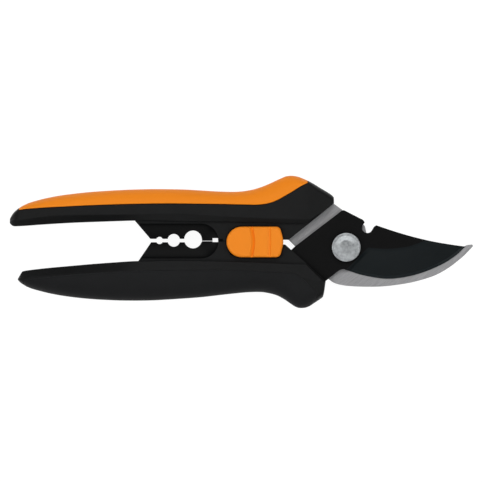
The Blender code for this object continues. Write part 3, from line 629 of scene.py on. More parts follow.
def parting_lip(core, side):
    """The lower web's lip stands in a groove of the upper, from a small recess to the throat."""
    left, right, low, high = SLOT_RIGHT + 0.2, THROAT_X - 4, PART_Y - 1, PART_Y + LIP_RISE
    if side > 0:
        half = LIP_HALF + FIT
        combine(core, block((left - 0.1, low, MID_Z - half), (right + 0.1, high + 0.4, MID_Z + half)))
    else:
        combine(core, block((left, low, MID_Z - LIP_HALF), (right, high, MID_Z + LIP_HALF)), "UNION")
    recess = (SLOT_RIGHT - 0.1, PART_Y - 0.3, MID_Z + 2)
    combine(core, block(recess, (SLOT_RIGHT + 2, PART_Y + 0.9, MID_Z + 9)))


def pin_places(handle):
    """Centres of the two pins that hold a blade in its handle."""
    corners = [span(f"{handle.name}_tang_pin_{number}") for number in (1, 2)]
    return [centre(low, high)[:2] for low, high in corners]


def moulding(handle, blade, blade_z, face, turn, finish, polished_shaded_finish):
    """The rigid moulding: a ribbed beam, a flat web, and room for everything it holds."""
    core = make(f"{handle.name}_moulding", handle.core(), [finish])
    web = edged_slab(web_outline(handle), MID_Z - WEB_BACK, MID_Z + WEB_FRONT, 0.16)
    combine(core, web, "UNION")
    parting_lip(core, handle.side)
    # The dishes' new faces take the darker finish, which paints shade into them.
    combine(core, dish(MID_Z + WEB_FRONT - DISH_DEPTH, 1), finishes=[polished_shaded_finish])
    combine(core, dish(MID_Z - WEB_BACK + DISH_DEPTH, -1), finishes=[polished_shaded_finish])
    combine(core, end_cut(face, turn, handle.sizes.end_chamfer))
    combine(core, slab(offset(blade, FIT), blade_z - FIT, blade_z + PLATE_THICK + FIT))
    bed = MID_Z + WEB_FRONT - BED_DEPTH
    combine(core, slab(offset(slider_outline(), BED_GAP), bed, bed + BED_DEPTH + 5))
    combine(core, latch_channel(handle.side))
    combine(core, spring_pocket())
    for x, y in pin_places(handle):
        combine(core, cylinder(x, y, PIN_R + FIT, MID_Z - 20, PIN_HIGH.z + FIT, 32))
    return core


# ---- blade shapes ----


def front_edge():
    """The front blade's cutting edge, from the root to the tip."""
    shares = ((1.4, -9.5), (5.6, -10.9), (11.4, -12.1), (17.1, -12.6))
    belly = ((0.37, -11.9), (0.545, -9.9), (0.72, -6.6), (0.842, -3.2))
    return smooth([*shares, *(along_blade(share, y) for share, y in belly), (FRONT_REACH, 0.25)])


def front_spine():
    """The front blade's back, from the tip to the wire notch."""
    belly = ((0.78, 1.15), (0.61, 2.42), (0.435, 4.2), (0.26, 6.4))
    return smooth([(FRONT_REACH, 0.25), *(along_blade(share, y) for share, y in belly), (12.1, 8.75)])


def front_root():
    """From the wire notch round the pivot and the tang to the relief under the edge."""
    line = [*reversed(smooth(NOTCH)), (7.2, 10.4), (6.7, 10.95)]
    line += [(-0.5, 14.65), (-1.0, 14.8), (-1.75, 14.6), (-20.5, 0.25)]
    line += [(-22.6, -1.7), (-25.5, -2.3), (-29, -2.6), (-29, -7.8), (-21, -8.8)]
    line += [(-18.5, -10.6), (-15.6, -14.0), (-12, -15.6), (-8.4, -13.7)]
    return line + smooth([(-4.2, -10.3), (-2.4, -9.1), (-0.9, -8.75), (-0.1, -9.15)])


def front_outline():
    return front_edge() + front_spine()[1:] + front_root()


def grind_line():
    """Where the ground face begins, from its root to the back of the blade."""
    points = [(10.3, -0.35), along_blade(0.2, -0.6), along_blade(0.38, 0.15), along_blade(0.5, 1.8)]
    return smooth(points)


def rear_outline():
    """The hooked rear blade: heel, outer jaw edge, tip, inner edge, wire notch, shoulder, tang."""
    heel = [(-6.8, -12.9), (-4.5, -14.4), (-0.1, -15.4), (6.6, -15.8)]
    jaw = ((0.13, -15.75), (0.285, -15.1), (0.44, -13.95), (0.6, -12.0), (0.7, -10.1), (0.8, -7.4))
    jaw += ((0.905, -3.75), (0.975, -0.8))
    line = smooth([*heel, *(along_blade(share, y) for share, y in jaw)])
    line += [along_blade(1, 0.4), along_blade(0.994, 1.1), along_blade(0.945, 0.9)]
    inner = ((0.86, -0.9), (0.74, -4.2), (0.6, -6.9), (0.43, -8.8), (0.25, -9.6), (0.1, -8.8))
    line += smooth([along_blade(share, y) for share, y in inner])
    line += smooth([(9.9, -5.5), (8.9, -1.5), (8.6, 2.5), (8.1, 6.0), (7.6, 8.4)], 3)
    line += list(reversed(turned(smooth(NOTCH[1:-1], 5), OPEN_ANGLE)))[:-1]
    line += [(0.0, 12.9), (-1.4, 14.9), (-4.3, 17.0), (-9, 20.0), (-15, 21.0), (-24, 16.6)]
    return line + [(-29, 13.2), (-29, 7.6), (-25.8, 5.2), (-23.0, 2.96)]


def stop_slot():
    """Curved slot that the stop pin runs in while the rear blade turns."""
    half = STOP_PIN_R + FIT
    end = 180 + OPEN_ANGLE
    line = arc(0, 0, STOP_PIN_REACH + half, 180, end, 20)
    line += arc(*turned([(-STOP_PIN_REACH, 0)], OPEN_ANGLE)[0], half, end, end + 180, 16)[1:-1]
    line += arc(0, 0, STOP_PIN_REACH - half, end, 180, 20)
    return line + arc(-STOP_PIN_REACH, 0, half, 0, 180, 16)[1:-1]


def bore_blade(piece, handle, shank):
    """The pivot's hole and the two pin holes."""
    combine(piece, cylinder(0, 0, shank, REAR_Z - 1, FRONT_HIGH.z + 1))
    for x, y in pin_places(handle):
        combine(piece, cylinder(x, y, PIN_R + FIT, REAR_Z - 1, FRONT_HIGH.z + 1, 32))


def cutting_blade(sizes, finishes):
    """A coated plate, ground to its edge in two steps: a wide hollow face and a narrow bevel."""
    low, high = FRONT_Z, FRONT_HIGH.z
    spine, root = front_spine(), front_root()
    leaves = next(k for k, (x, _) in enumerate(spine) if x <= along_blade(0.57, 0)[0])
    line = grind_line()
    top = resample(line, 40) + spine[leaves:0:-1]
    edge = resample(front_edge(), len(top) + 1)[:-1]
    thin = 0.5  # the plate's back edge at the tip
    land, climb = 0.12, 0.28  # the honed edge's flat, and the bevel's share of the height
    fall = [high] * 40 + [high - (PLATE_THICK - thin) * k / leaves for k in range(leaves)]
    bm = bmesh.new()
    rows = 8
    grid = []
    for (ex, ey), (tx, ty), height in zip(edge, top, fall):
        across = hypot(tx - ex, ty - ey)
        bevel = min(sizes.bevel_width / across, 0.6)
        bevel_z = low + land + (height - low) * climb
        column = [(ex, ey, low), (ex, ey, low + land)]
        for k in range(rows + 1):
            share = bevel + (1 - bevel) * k / rows
            hollow = sizes.hollow * sin(pi * k / rows) * min(across / 8, 1)
            z = bevel_z + (height - bevel_z) * k / rows - hollow
            column.append((ex + (tx - ex) * share, ey + (ty - ey) * share, z))
        grid.append([bm.verts.new(p) for p in column])
    tip_low = bm.verts.new((*spine[0], low))
    tip_high = bm.verts.new((*spine[0], low + thin * 0.6))
    for left, right in zip(grid, grid[1:]):
        for k in range(len(left) - 1):
            face = bm.faces.new((left[k], right[k], right[k + 1], left[k + 1]))
            face.material_index = 2 if k < 2 else 1
    last = grid[-1]
    face = bm.faces.new((last[0], tip_low, tip_high, last[1]))
    for k in range(1, len(last) - 1):
        face = bm.faces.new((last[k], tip_high, last[k + 1]))
        face.material_index = 1
    first = grid[0]
    back = spine[leaves + 1 :] + root
    back_low = [bm.verts.new((*p, low)) for p in spine[1 : leaves + 1] + back]
    spine_high = [column[-1] for column in reversed(grid[40:])]
    back_high = [bm.verts.new((*p, high)) for p in back]
    chain_low = [tip_low, *back_low]
    chain_high = [tip_high, *spine_high, *back_high]
    for a, b, c, d in zip(chain_low, chain_low[1:], chain_high[1:], chain_high):
        bm.faces.new((a, b, c, d))
    bm.faces.new((chain_low[-1], first[0], first[1], chain_high[-1]))
    plunge = resample([back[-1], (8.8, -0.1)], len(first) - 1)[1:]
    brow = [chain_high[-1], *(bm.verts.new((*p, high)) for p in plunge)]
    for a, b, c, d in zip(brow, first[1:], first[2:], brow[1:]):
        bm.faces.new((a, b, c, d)).material_index = 1
    flat = [*brow, *(column[-1] for column in grid[:41]), *back_high[:-1]]
    bm.faces.new(flat)
    bm.faces.new([*(column[0] for column in grid), *chain_low])
    return make("cutting_blade", bm, finishes)


def hooked_blade(sizes, finishes):
    """The bare steel hook that the stem rests in, with rounded corners all round."""
    return make("hooked_blade", edged_slab(rear_outline(), REAR_Z, REAR_TOP, sizes.plate_round), finishes)


# ---- small pieces ----


def slider_outline(inset=0.0):
    """Thumb slide seen from the front: a half round left end, and a bowed right end."""
    middle, half = centre(SLIDER_LOW, SLIDER_HIGH)[1], (SLIDER_HIGH.y - SLIDER_LOW.y) / 2
    left, corner, bow = SLIDER_LOW.x + half, 2.1, 0.9
    right = SLIDER_HIGH.x - inset
    half -= inset
    line = arc(left, middle, half, 90, 270, 40)
    line += arc(right - corner - bow, middle - half + corner, corner, -90, -12, 12)
    line += smooth([line[-1], (right, middle), (line[-1][0], 2 * middle - line[-1][1])], 6)[1:-1]
    return line + arc(right - corner - bow, middle + half - corner, corner, 12, 90, 12)


def slider_body(sizes, finish):
    """The thumb slide with its two thumb steps, its stem and its peg."""
    low, high = MID_Z + WEB_FRONT + FIT, SLIDER_HIGH.z
    rings = [[(x, y, low) for x, y in slider_outline()]]
    reach = sizes.slider_round
    for k in range(9):
        a = pi / 2 * k / 8
        inset, z = reach * (1 - cos(a)), high - reach * (1 - sin(a))
        rings.append([(x, y, z) for x, y in slider_outline(inset)])
    slider = make("thumb_slide", stack(rings), [finish])
    combine(slider, stem_block(FOOT_HIGH.z + 0.05, low + 1), "UNION")
    combine(slider, stem_block(FOOT_LOW.z, low + 0.8, -PEG_SHRINK), "UNION")
    for x, bulge, share in SLIDER_GROOVES:
        combine(slider, thumb_step(x, bulge, high, share * sizes.step_depth))
    return slider


def thumb_step(x, bulge, top, depth):
    """A cutter for one thumb step: a slope from the left, and a steep wall at the right."""
    middle, half = centre(SLIDER_LOW, SLIDER_HIGH)[1], (SLIDER_HIGH.y - SLIDER_LOW.y) / 2 + 1
    lead = smooth([(x - bulge, middle - half), (x, middle), (x - bulge, middle + half)], 10)
    slope = [(-3.4, 0.0, 0), (-1.5, 0.0, 0.8), (-0.15, -depth, 0.15), (0.15, 0.0, 0.1), (0.8, 0.6, 0)]
    profile = rounded(slope)
    rings = []
    for px, py in lead:
        ring = [(px + along, py, top + 0.002 + rise) for along, rise in profile]
        rings.append(ring + [(px + 0.8, py, top + 3), (px - 3.4, py, top + 3)])
    return stack(rings)


def coil():
    """The return spring: a coil along Y with its end turns wound close."""
    x, _, z = centre(SPRING_LOW, SPRING_HIGH)
    wire = 0.4
    radius = (SPRING_HIGH.x - SPRING_LOW.x) / 2 - wire
    low, high = SPRING_LOW.y + wire, SPRING_HIGH.y - wire
    per_turn, sides = 32, 12
    count = SPRING_TURNS * per_turn
    closed = 2 * wire * 1.04 / (high - low)  # share of the length that a close-wound turn takes
    rise = curve([(0, 0), (1, closed), (SPRING_TURNS - 1, 1 - closed), (SPRING_TURNS, 1)])
    rings = []
    for k in range(count + 1):
        angle = 2 * pi * k / per_turn
        y = low + (high - low) * rise(k / per_turn)
        ring = []
        for j in range(sides):
            a = 2 * pi * j / sides
            r = radius + wire * cos(a)
            ring.append((x + r * cos(angle), y + wire * sin(a), z + r * sin(angle)))
        rings.append(ring)
    return stack(rings)


def rivet_profile(sizes):
    """The rivet's half section: a peened tail, the shank and a broad head with a rounded rim."""
    tail, top, head = RIVET_LOW.z, RIVET_HIGH.z, RIVET_HIGH.x
    under = top - 1.5
    line = [(0, tail, 0), (SHANK_R, tail, 0.35), (SHANK_R, under, 0.1), (head, under, 0.2)]
    line += [(head, top - 0.28, sizes.rivet_rim), (head - 0.8, top - 0.28, 0.15)]
    line += [(head - 1.0, top - 0.4, 0.2), (head * 0.5, top - 0.1, 2.0), (0, top, 0)]
    return rounded(line, 6)


def ring_profile(inner, outer, low, high, edge, lift=0.0):
    """A washer, bush or collar with rounded corners; lift cups it by raising its inner rim."""
    corners = [(inner, low + lift), (outer, low), (outer, high - lift), (inner, high)]
    closed = corners[-1:] + corners + corners[:1]
    return rounded([(r, z, edge) for r, z in closed], 3)[1:-1]


def pin_profile(radius, low, high, edge):
    return rounded([(0, low, 0), (radius, low, edge), (radius, high, edge), (0, high, 0)], 4)


def latch_plate(sizes, finish):
    """The flat steel latch: a bar on the slide's peg, with a hooked tongue."""
    low, high = FOOT_LOW, FOOT_HIGH
    left, right = STEM_X - TONGUE_HALF, STEM_X + TONGUE_HALF
    bar, hook = PART_Y - 2 * FIT, high.y - 1.5
    outline = [(low.x, low.y), (LATCH_RIGHT, low.y), (LATCH_RIGHT, bar), (right, bar), (right, hook)]
    outline += [(high.x, hook), (high.x, high.y), (left, high.y), (left, bar), (low.x, bar)]
    plate = make("latch_plate", edged_slab(outline, low.z, high.z, 0.12), [finish])
    combine(plate, stem_block(low.z - 1, high.z + 1, FIT - PEG_SHRINK))
    return plate


# ---- finishes ----


def feed(tree, socket, value):
    """Puts a value, or another socket's output, into a socket."""
    if isinstance(value, Sock):
        tree.links.new(value.output, socket)
    elif isinstance(value, (tuple, list)) and len(value) == 3 and socket.type == "RGBA":
        socket.default_value = (*value, 1)
    else:
        socket.default_value = value


class Sock:
    """One output in a material's node tree, so that sums of values read as sums."""

    def __init__(self, tree, output):
        self.tree, self.output = tree, output

    def math(self, operation, first, second=0.0):
        node = self.tree.nodes.new("ShaderNodeMath")
        node.operation = operation
        feed(self.tree, node.inputs[0], first)
        feed(self.tree, node.inputs[1], second)
        return Sock(self.tree, node.outputs[0])

    def __add__(self, other):
        return self.math("ADD", self, other)

    def __radd__(self, other):
        return self.math("ADD", other, self)

    def __sub__(self, other):
        return self.math("SUBTRACT", self, other)

    def __rsub__(self, other):
        return self.math("SUBTRACT", other, self)

    def __mul__(self, other):
        return self.math("MULTIPLY", self, other)

    def __rmul__(self, other):
        return self.math("MULTIPLY", other, self)

    def __pow__(self, other):
        return self.math("POWER", self, other)


class Finish:
    """A material under construction, with the nodes that these finishes share."""

    def __init__(self, name):
        self.material = bpy.data.materials.new(name)
        self.material.use_nodes = True
        self.tree = self.material.node_tree
        self.shader = self.tree.nodes["Principled BSDF"]
        self.place = self.node("ShaderNodeTexCoord", out="Object")

    def node(self, kind, settings=None, values=None, out=None):
        """Any node: its settings first, then its sockets' values or links, by identifier."""
        made = self.tree.nodes.new(kind)
        for name, value in (settings or {}).items():
            if name == "stops":
                self.set_stops(made.color_ramp, value)
            else:
                setattr(made, name, value)
        for name, value in (values or {}).items():
            feed(self.tree, next(s for s in made.inputs if s.identifier == name), value)
        if out is None:
            return Sock(self.tree, made.outputs[0])
        return Sock(self.tree, next(s for s in made.outputs if s.identifier == out))

    def set_stops(self, ramp, stops):
        while len(ramp.elements) < len(stops):
            ramp.elements.new(1.0)
        for element, (position, level) in zip(ramp.elements, stops):
            element.position = position
            element.color = (level, level, level, 1)

    def noise(self, grain, detail=2.0, stretch=1.0, turn=0.0, roughness=0.5):
        """Even noise with marks about grain millimetres wide, drawn out along the direction turn."""
        place = self.place
        if stretch != 1.0:
            settings = {"vector_type": "TEXTURE"}
            values = {"Vector": place, "Rotation": (0, 0, radians(turn)), "Scale": (stretch, 1, 1)}
            place = self.node("ShaderNodeMapping", settings, values)
        values = {"Vector": place, "Scale": 1 / (grain * MM), "Detail": detail, "Roughness": roughness}
        return self.node("ShaderNodeTexNoise", None, values)

    def ramp(self, value, *stops):
        """The value bent through (position, level) stops."""
        return self.node("ShaderNodeValToRGB", {"stops": stops}, {"Fac": value})

    def tint(self, share, first, second):
        """A colour between two others."""
        values = {"Factor_Float": share, "A_Color": first, "B_Color": second}
        return self.node("ShaderNodeMix", {"data_type": "RGBA"}, values, "Result_Color")

    def edge_highlight_and_wear(self, reach):
        """1 along edges, fading to 0 within reach millimetres of them."""
        soft = self.node("ShaderNodeBevel", {"samples": 4}, {"Radius": reach * MM})
        flat = self.node("ShaderNodeNewGeometry", out="Normal")
        values = {"Vector": soft, "Vector_001": flat}
        same = self.node("ShaderNodeVectorMath", {"operation": "DOT_PRODUCT"}, values, "Value")
        return self.ramp(1 - same, (0.01, 0.0), (0.12, 1.0))

    def relief(self, height, depth, edge=0.0, strength=1.0):
        """Surface relief of depth millimetres, over edges eased by edge millimetres."""
        values = {"Height": height, "Distance": depth * MM, "Strength": strength}
        if edge:
            values["Normal"] = self.node("ShaderNodeBevel", {"samples": 4}, {"Radius": edge * MM})
        return self.node("ShaderNodeBump", None, values)

    def surface(self, colour, roughness, normal, **fixed):
        """Connects the shader and gives back the finished material."""
        feed(self.tree, self.shader.inputs["Base Color"], colour)
        feed(self.tree, self.shader.inputs["Roughness"], roughness)
        feed(self.tree, self.shader.inputs["Normal"], normal)
        for name, value in fixed.items():
            feed(self.tree, self.shader.inputs[name.replace("_", " ")], value)
        return self.material


def shaded(colour, level):
    """A colour made lighter or darker."""
    return tuple(min(c * level, 1.0) for c in colour)


def nylon(colours):
    """Black glass-filled nylon: an eroded grain, faint flow mottling, slightly polished edges, and a
    painted highlight along edges and creases.
    """
    finish = Finish("black_nylon")
    base = tuple(colours.nylon)
    grain = finish.noise(0.28, 3)
    flow = finish.ramp(finish.noise(9, 2), (0.3, 0.0), (0.7, 1.0))
    colour = finish.tint(flow, shaded(base, 0.85), shaded(base, 1.15))
    # Edges and creases made much lighter: a painted highlight, with a little edge wear.
    colour = finish.tint(finish.edge_highlight_and_wear(0.4) * 0.7, colour, shaded(base, 3.2))
    rough = 0.44 + grain * 0.16 - finish.edge_highlight_and_wear(0.3) * 0.06
    return finish.surface(colour, rough, finish.relief(grain, 0.035, 0.12), Specular_IOR_Level=0.13)


def polished_shaded_dish_nylon(colours):
    """The same nylon in the dishes, where stems slide over it: no grain, smoother, and darker by painted
    shade of the dish's recess.
    """
    finish = Finish("polished_black_nylon")
    # Half the nylon's colour: painted shade in the dish's recess.
    base = shaded(tuple(colours.nylon), 0.5)
    flow = finish.noise(3, 2)
    colour = finish.tint(flow, shaded(base, 0.9), shaded(base, 1.1))
    rough = 0.36 + flow * 0.06
    return finish.surface(colour, rough, finish.relief(flow, 0.01, 0.1), Specular_IOR_Level=0.055)


def soft_grip(colours):
    """Matt black soft grip: a very fine grain and a dusty bloom."""
    finish = Finish("soft_black_grip")
    base = tuple(colours.soft)
    grain = finish.noise(0.18, 2)
    bloom = finish.ramp(finish.noise(14, 3), (0.35, 0.0), (0.75, 1.0))
    colour = finish.tint(bloom, shaded(base, 0.9), shaded(base, 1.2))
    return finish.surface(
        colour, 0.6 + grain * 0.15, finish.relief(grain, 0.03, 0.15), Specular_IOR_Level=0.2
    )


def orange_grip(colours):
    """Satin orange soft grip: a faint skin of grain and slow changes of tone."""
    finish = Finish("satin_orange_grip")
    base = tuple(colours.orange)
    grain = finish.noise(0.22, 2)
    tone = finish.noise(22, 2)
    colour = finish.tint(tone, shaded(base, 0.93), shaded(base, 1.05))
    return finish.surface(
        colour, 0.46 + grain * 0.16, finish.relief(grain, 0.02, 0.12), Specular_IOR_Level=0.12
    )


def orange_button(colours):
    """Orange nylon of the thumb slide, a little glossier than the grip."""
    finish = Finish("orange_slide_nylon")
    base = tuple(colours.orange)
    grain = finish.noise(0.3, 3)
    rim_highlight_and_wear = finish.edge_highlight_and_wear(0.3)
    colour = finish.tint(finish.noise(6, 2), shaded(base, 0.95), shaded(base, 1.04))
    # Lighter along the slide's edges: a painted rim highlight, with a little edge wear.
    colour = finish.tint(rim_highlight_and_wear * 0.35, colour, shaded(base, 1.18))
    rough = 0.4 + grain * 0.14
    return finish.surface(colour, rough, finish.relief(grain, 0.015, 0.1), Specular_IOR_Level=0.18)


def coating(colours):
    """Black low-friction coating over a lapped plate, with its fine diagonal lay."""
    finish = Finish("black_coating")
    base = tuple(colours.coating)
    lay = finish.noise(0.1, 3, stretch=14, turn=62)
    speck = finish.noise(0.5, 4)
    colour = finish.tint(lay, shaded(base, 0.8), shaded(base, 1.3))
    height = lay * 0.6 + speck * 0.4
    return finish.surface(
        colour, 0.4 + speck * 0.14, finish.relief(height, 0.012, 0.08), Specular_IOR_Level=0.08
    )


def ground_coating(colours):
    """The coating over the ground face: smoother, bluish, with the wheel's cross lines."""
    finish = Finish("ground_coating")
    base = tuple(colours.ground)
    lay = finish.noise(0.12, 3, stretch=20, turn=78)
    cloud = finish.noise(7, 2)
    colour = finish.tint(cloud, shaded(base, 0.85), shaded(base, 1.2))
    colour = finish.tint(lay * 0.5, colour, shaded(base, 1.5))
    return finish.surface(colour, 0.34 + lay * 0.12, finish.relief(lay, 0.01), Specular_IOR_Level=0.11)


def edge_coating(colours):
    """The narrow bevel, honed through the coating's skin."""
    finish = Finish("honed_bevel")
    base = tuple(colours.ground)
    lay = finish.noise(0.09, 2, stretch=24, turn=82)
    colour = finish.tint(lay, shaded(base, 1.2), shaded(base, 2.2))
    return finish.surface(colour, 0.3 + lay * 0.12, finish.relief(lay, 0.008), Specular_IOR_Level=0.25)


def steel(colours):
    """Bare plate steel: lapped along one diagonal, with stray scratches and a few stains."""
    finish = Finish("lapped_steel")
    base = tuple(colours.steel)
    lay = finish.noise(0.3, 4, stretch=22, turn=36, roughness=0.65)
    cross = finish.ramp(finish.noise(0.22, 2, stretch=40, turn=64), (0.55, 0.0), (0.72, 1.0))
    stain = finish.ramp(finish.noise(5, 4, roughness=0.6), (0.3, 0.0), (0.75, 1.0))
    colour = finish.tint(finish.ramp(lay, (0.3, 0.0), (0.7, 1.0)), shaded(base, 0.8), shaded(base, 1.16))
    colour = finish.tint(stain * 0.35, colour, shaded(base, 0.78))
    colour = finish.tint(cross * 0.4, colour, shaded(base, 1.3))
    height = lay * 0.6 + cross * 0.4
    return finish.surface(
        colour, 0.36 + lay * 0.1 + stain * 0.06, finish.relief(height, 0.012, 0.1), Metallic=1.0
    )


def zinc(colours):
    """Bright zinc plate with cloudy crystals and tumbling dents."""
    finish = Finish("zinc_plate")
    base = tuple(colours.zinc)
    cloud = finish.ramp(finish.noise(1.5, 4, roughness=0.65), (0.3, 0.0), (0.7, 1.0))
    dents = finish.ramp(finish.noise(0.5, 2), (0.35, 0.0), (0.65, 1.0))
    colour = finish.tint(cloud, shaded(base, 0.66), shaded(base, 1.2))
    height = dents * 0.6 + cloud * 0.4
    return finish.surface(colour, 0.3 + cloud * 0.16, finish.relief(height, 0.02, 0.12), Metallic=1.0)


def drawn_steel(colours):
    """Drawn spring steel: lines along the wire's skin and a faint oil film."""
    finish = Finish("drawn_steel")
    base = tuple(colours.bright)
    lines = finish.noise(0.08, 2, stretch=6, turn=0)
    film = finish.noise(2.2, 3)
    colour = finish.tint(film, shaded(base, 0.8), shaded(base, 1.1))
    return finish.surface(
        colour, 0.24 + film * 0.14, finish.relief(lines, 0.006, 0.08), Metallic=1.0
    )


def bronze(colours):
    """Sintered bearing bronze, open pored."""
    finish = Finish("bearing_bronze")
    base = tuple(colours.bronze)
    pores = finish.ramp(finish.noise(0.12, 2), (0.3, 0.0), (0.42, 1.0))
    colour = finish.tint(pores, shaded(base, 0.45), base)
    return finish.surface(colour, 0.5 - pores * 0.12, finish.relief(pores, 0.01, 0.06), Metallic=1.0)


def paper(colours):
    """Pale matt sweep under the tool."""
    finish = Finish("pale_floor")
    base = tuple(colours.floor)
    fibre = finish.noise(4, 3)
    colour = finish.tint(fibre, shaded(base, 0.995), base)
    lit = {"Emission_Color": (1, 1, 1), "Emission_Strength": 0.94}
    return finish.surface(colour, 0.9, finish.relief(fibre, 0.01), Specular_IOR_Level=0.0, **lit)


# ---- settings that a user can change ----


def colour_setting(label, note, value):
    return bpy.props.FloatVectorProperty(
        name=label, description=note, subtype="COLOR", size=3, min=0.0, max=1.0, default=value
    )


def size_setting(label, note, value, highest=5.0):
    return bpy.props.FloatProperty(name=label, description=note, min=0.0, max=highest, default=value)


class PrunerColours(bpy.types.PropertyGroup):
    """Colours of the pruner's finishes"""

    nylon: colour_setting("Nylon", "Rigid handle mouldings", (0.0044, 0.0047, 0.0049))
    soft: colour_setting("Soft grip", "Soft grip on the lower handle", (0.0046, 0.005, 0.0056))
    orange: colour_setting("Orange", "Upper handle's soft grip, and the slide", (0.865, 0.243, 0.0095))
    coating: colour_setting("Coating", "Flat of the cutting blade", (0.0022, 0.0022, 0.0023))
    ground: colour_setting("Ground face", "Ground face of the cutting blade", (0.0034, 0.0056, 0.0066))
    steel: colour_setting("Steel", "Bare hooked blade", (0.33, 0.33, 0.337))
    zinc: colour_setting("Zinc", "Rivet, collar and pins", (0.39, 0.408, 0.418))
    bright: colour_setting("Spring steel", "Spring, washer and latch plate", (0.45, 0.45, 0.46))
    bronze: colour_setting("Bronze", "Pivot bush", (0.45, 0.3, 0.14))
    floor: colour_setting("Floor", "The sweep that the tool lies on", (0.15, 0.15, 0.15))


class PrunerSizes(bpy.types.PropertyGroup):
    """Fine sizes in millimetres, on top of the frame's own"""

    rim_proud: size_setting("Rim height", "How far the grip's rim stands over the moulding, mm", 0.16)
    rim_round: size_setting("Rim radius", "Rounding of the grip's rim, mm", 0.35)
    grip_gap: size_setting("Grip gap", "Witness line between the orange grip and the moulding, mm", 0.22)
    edge_round: size_setting("Edge radius", "Rounding of the moulding's inner edges, mm", 0.5)
    end_chamfer: size_setting("End chamfer", "Chamfer of the handles' sloping end faces, mm", 1.6)
    bevel_width: size_setting("Edge bevel", "Width of the bevel along the cutting edge, mm", 1.2)
    hollow: size_setting("Hollow", "How far the ground face is hollowed, mm", 0.12)
    plate_round: size_setting("Plate edges", "Rounding of the hooked blade's corners, mm", 0.18)
    slider_round: size_setting("Slide edges", "Rounding of the thumb slide's top edge, mm", 1.0)
    step_depth: size_setting("Thumb steps", "Depth of the thumb slide's two steps, mm", 1.0)
    rivet_rim: size_setting("Rivet rim", "Rounding of the rivet head's rim, mm", 0.35)


# ---- operators ----


def settings(context):
    return context.scene.pruner_sizes, context.scene.pruner_colours


class PRUNER_OT_handles(bpy.types.Operator):
    """Builds the two black handle mouldings"""

    bl_idname = "pruner.handles"
    bl_label = "Handle Mouldings"

    def execute(self, context):
        sizes, colours = settings(context)
        pair = nylon(colours), polished_shaded_dish_nylon(colours)
        up = moulding(upper(sizes), rear_outline(), REAR_Z, UPPER_FACE, UPPER_FACE_TURN, *pair)
        low, high = span("keeper_pin")
        x, y, _ = centre(low, high)
        combine(up, cylinder(x, y, (high.x - low.x) / 2 + FIT, low.z - FIT, high.z, 32))
        down = moulding(lower(sizes), front_outline(), FRONT_Z, LOWER_FACE, LOWER_FACE_TURN, *pair)
        combine(down, stem_block(FOOT_LOW.z, MID_Z + WEB_FRONT + 1, FIT, SLIDER_TRAVEL))
        settle(soften(up), "upper_half", "handle", "upper_handle")
        settle(soften(down), "lower_half", "handle", "lower_handle")
        return {"FINISHED"}


class PRUNER_OT_grips(bpy.types.Operator):
    """Builds the soft grips that are moulded round the handles"""

    bl_idname = "pruner.grips"
    bl_label = "Soft Grips"

    def execute(self, context):
        sizes, colours = settings(context)
        orange = make("orange_grip", upper(sizes).grip(), [orange_grip(colours)])
        black = make("black_grip", lower(sizes).grip(), [soft_grip(colours)])
        settle(soften(orange), "upper_half", "orange_grip", "upper_grip")
        settle(soften(black), "lower_half", "soft_grip", "lower_grip")
        return {"FINISHED"}


class PRUNER_OT_blades(bpy.types.Operator):
    """Builds the coated cutting blade and the bare hooked blade"""

    bl_idname = "pruner.blades"
    bl_label = "Blades"

    def execute(self, context):
        sizes, colours = settings(context)
        finishes = [coating(colours), ground_coating(colours), edge_coating(colours)]
        front = cutting_blade(sizes, finishes)
        bore_blade(front, lower(sizes), SHANK_R + FIT)
        x, reach = -STOP_PIN_REACH, span("stop_pin")[1].z
        combine(front, cylinder(x, 0, STOP_PIN_R + FIT, FRONT_Z - 1, reach + FIT, 32))
        rear = hooked_blade(sizes, [steel(colours)])
        bore_blade(rear, upper(sizes), span("pivot_bush")[1].x + FIT)
        combine(rear, slab(stop_slot(), REAR_Z - 1, REAR_TOP + 1))
        settle(soften(front, 20), "lower_half", "coated_blade", "front_blade")
        settle(soften(rear), "upper_half", "blade_steel", "rear_blade")
        return {"FINISHED"}


class PRUNER_OT_pivot(bpy.types.Operator):
    """Builds the rivet, its collar, the cupped washer, the bush and the stop pin"""

    bl_idname = "pruner.pivot"
    bl_label = "Pivot"

    def execute(self, context):
        sizes, colours = settings(context)
        plate, bright = zinc(colours), drawn_steel(colours)
        rivet = make("rivet", turning(rivet_profile(sizes)), [plate])
        settle(soften(rivet), "lower_half", "zinc", "pivot_rivet")
        rings = (
            ("rivet_collar", "pivot_collar", plate, "lower_half", "zinc", 0.25, 0.0),
            ("cupped_washer", "tension_washer", bright, "lower_half", "spring_steel", 0.08, 0.12),
            ("bearing_bush", "pivot_bush", bronze(colours), "upper_half", "bronze", 0.15, 0.0),
        )
        for name, node, finish, body, slot, edge, lift in rings:
            low, high = span(node)
            profile = ring_profile(SHANK_R + FIT, high.x, low.z, high.z, edge, lift)
            settle(soften(make(name, turning(profile), [finish])), body, slot, node)
        low, high = span("stop_pin")
        pin = turning(pin_profile(STOP_PIN_R, low.z, high.z, 0.25), -STOP_PIN_REACH, 0, 48)
        settle(soften(make("travel_stop", pin, [plate])), "lower_half", "zinc", "stop_pin")
        return {"FINISHED"}


class PRUNER_OT_lock(bpy.types.Operator):
    """Builds the thumb slide, the latch plate under it and the keeper stud that it hooks behind"""

    bl_idname = "pruner.lock"
    bl_label = "Lock"

    def execute(self, context):
        sizes, colours = settings(context)
        slide = slider_body(sizes, orange_button(colours))
        settle(soften(slide), "lock", "slide_button", "lock_slider")
        plate = latch_plate(sizes, drawn_steel(colours))
        settle(soften(plate), "lock", "spring_steel", "lock_foot")
        low, high = span("keeper_pin")
        profile = pin_profile((high.x - low.x) / 2, low.z, high.z, 0.2)
        stud = turning(profile, *centre(low, high)[:2], 48)
        settle(soften(make("keeper_stud", stud, [zinc(colours)])), "upper_half", "zinc", "keeper_pin")
        return {"FINISHED"}


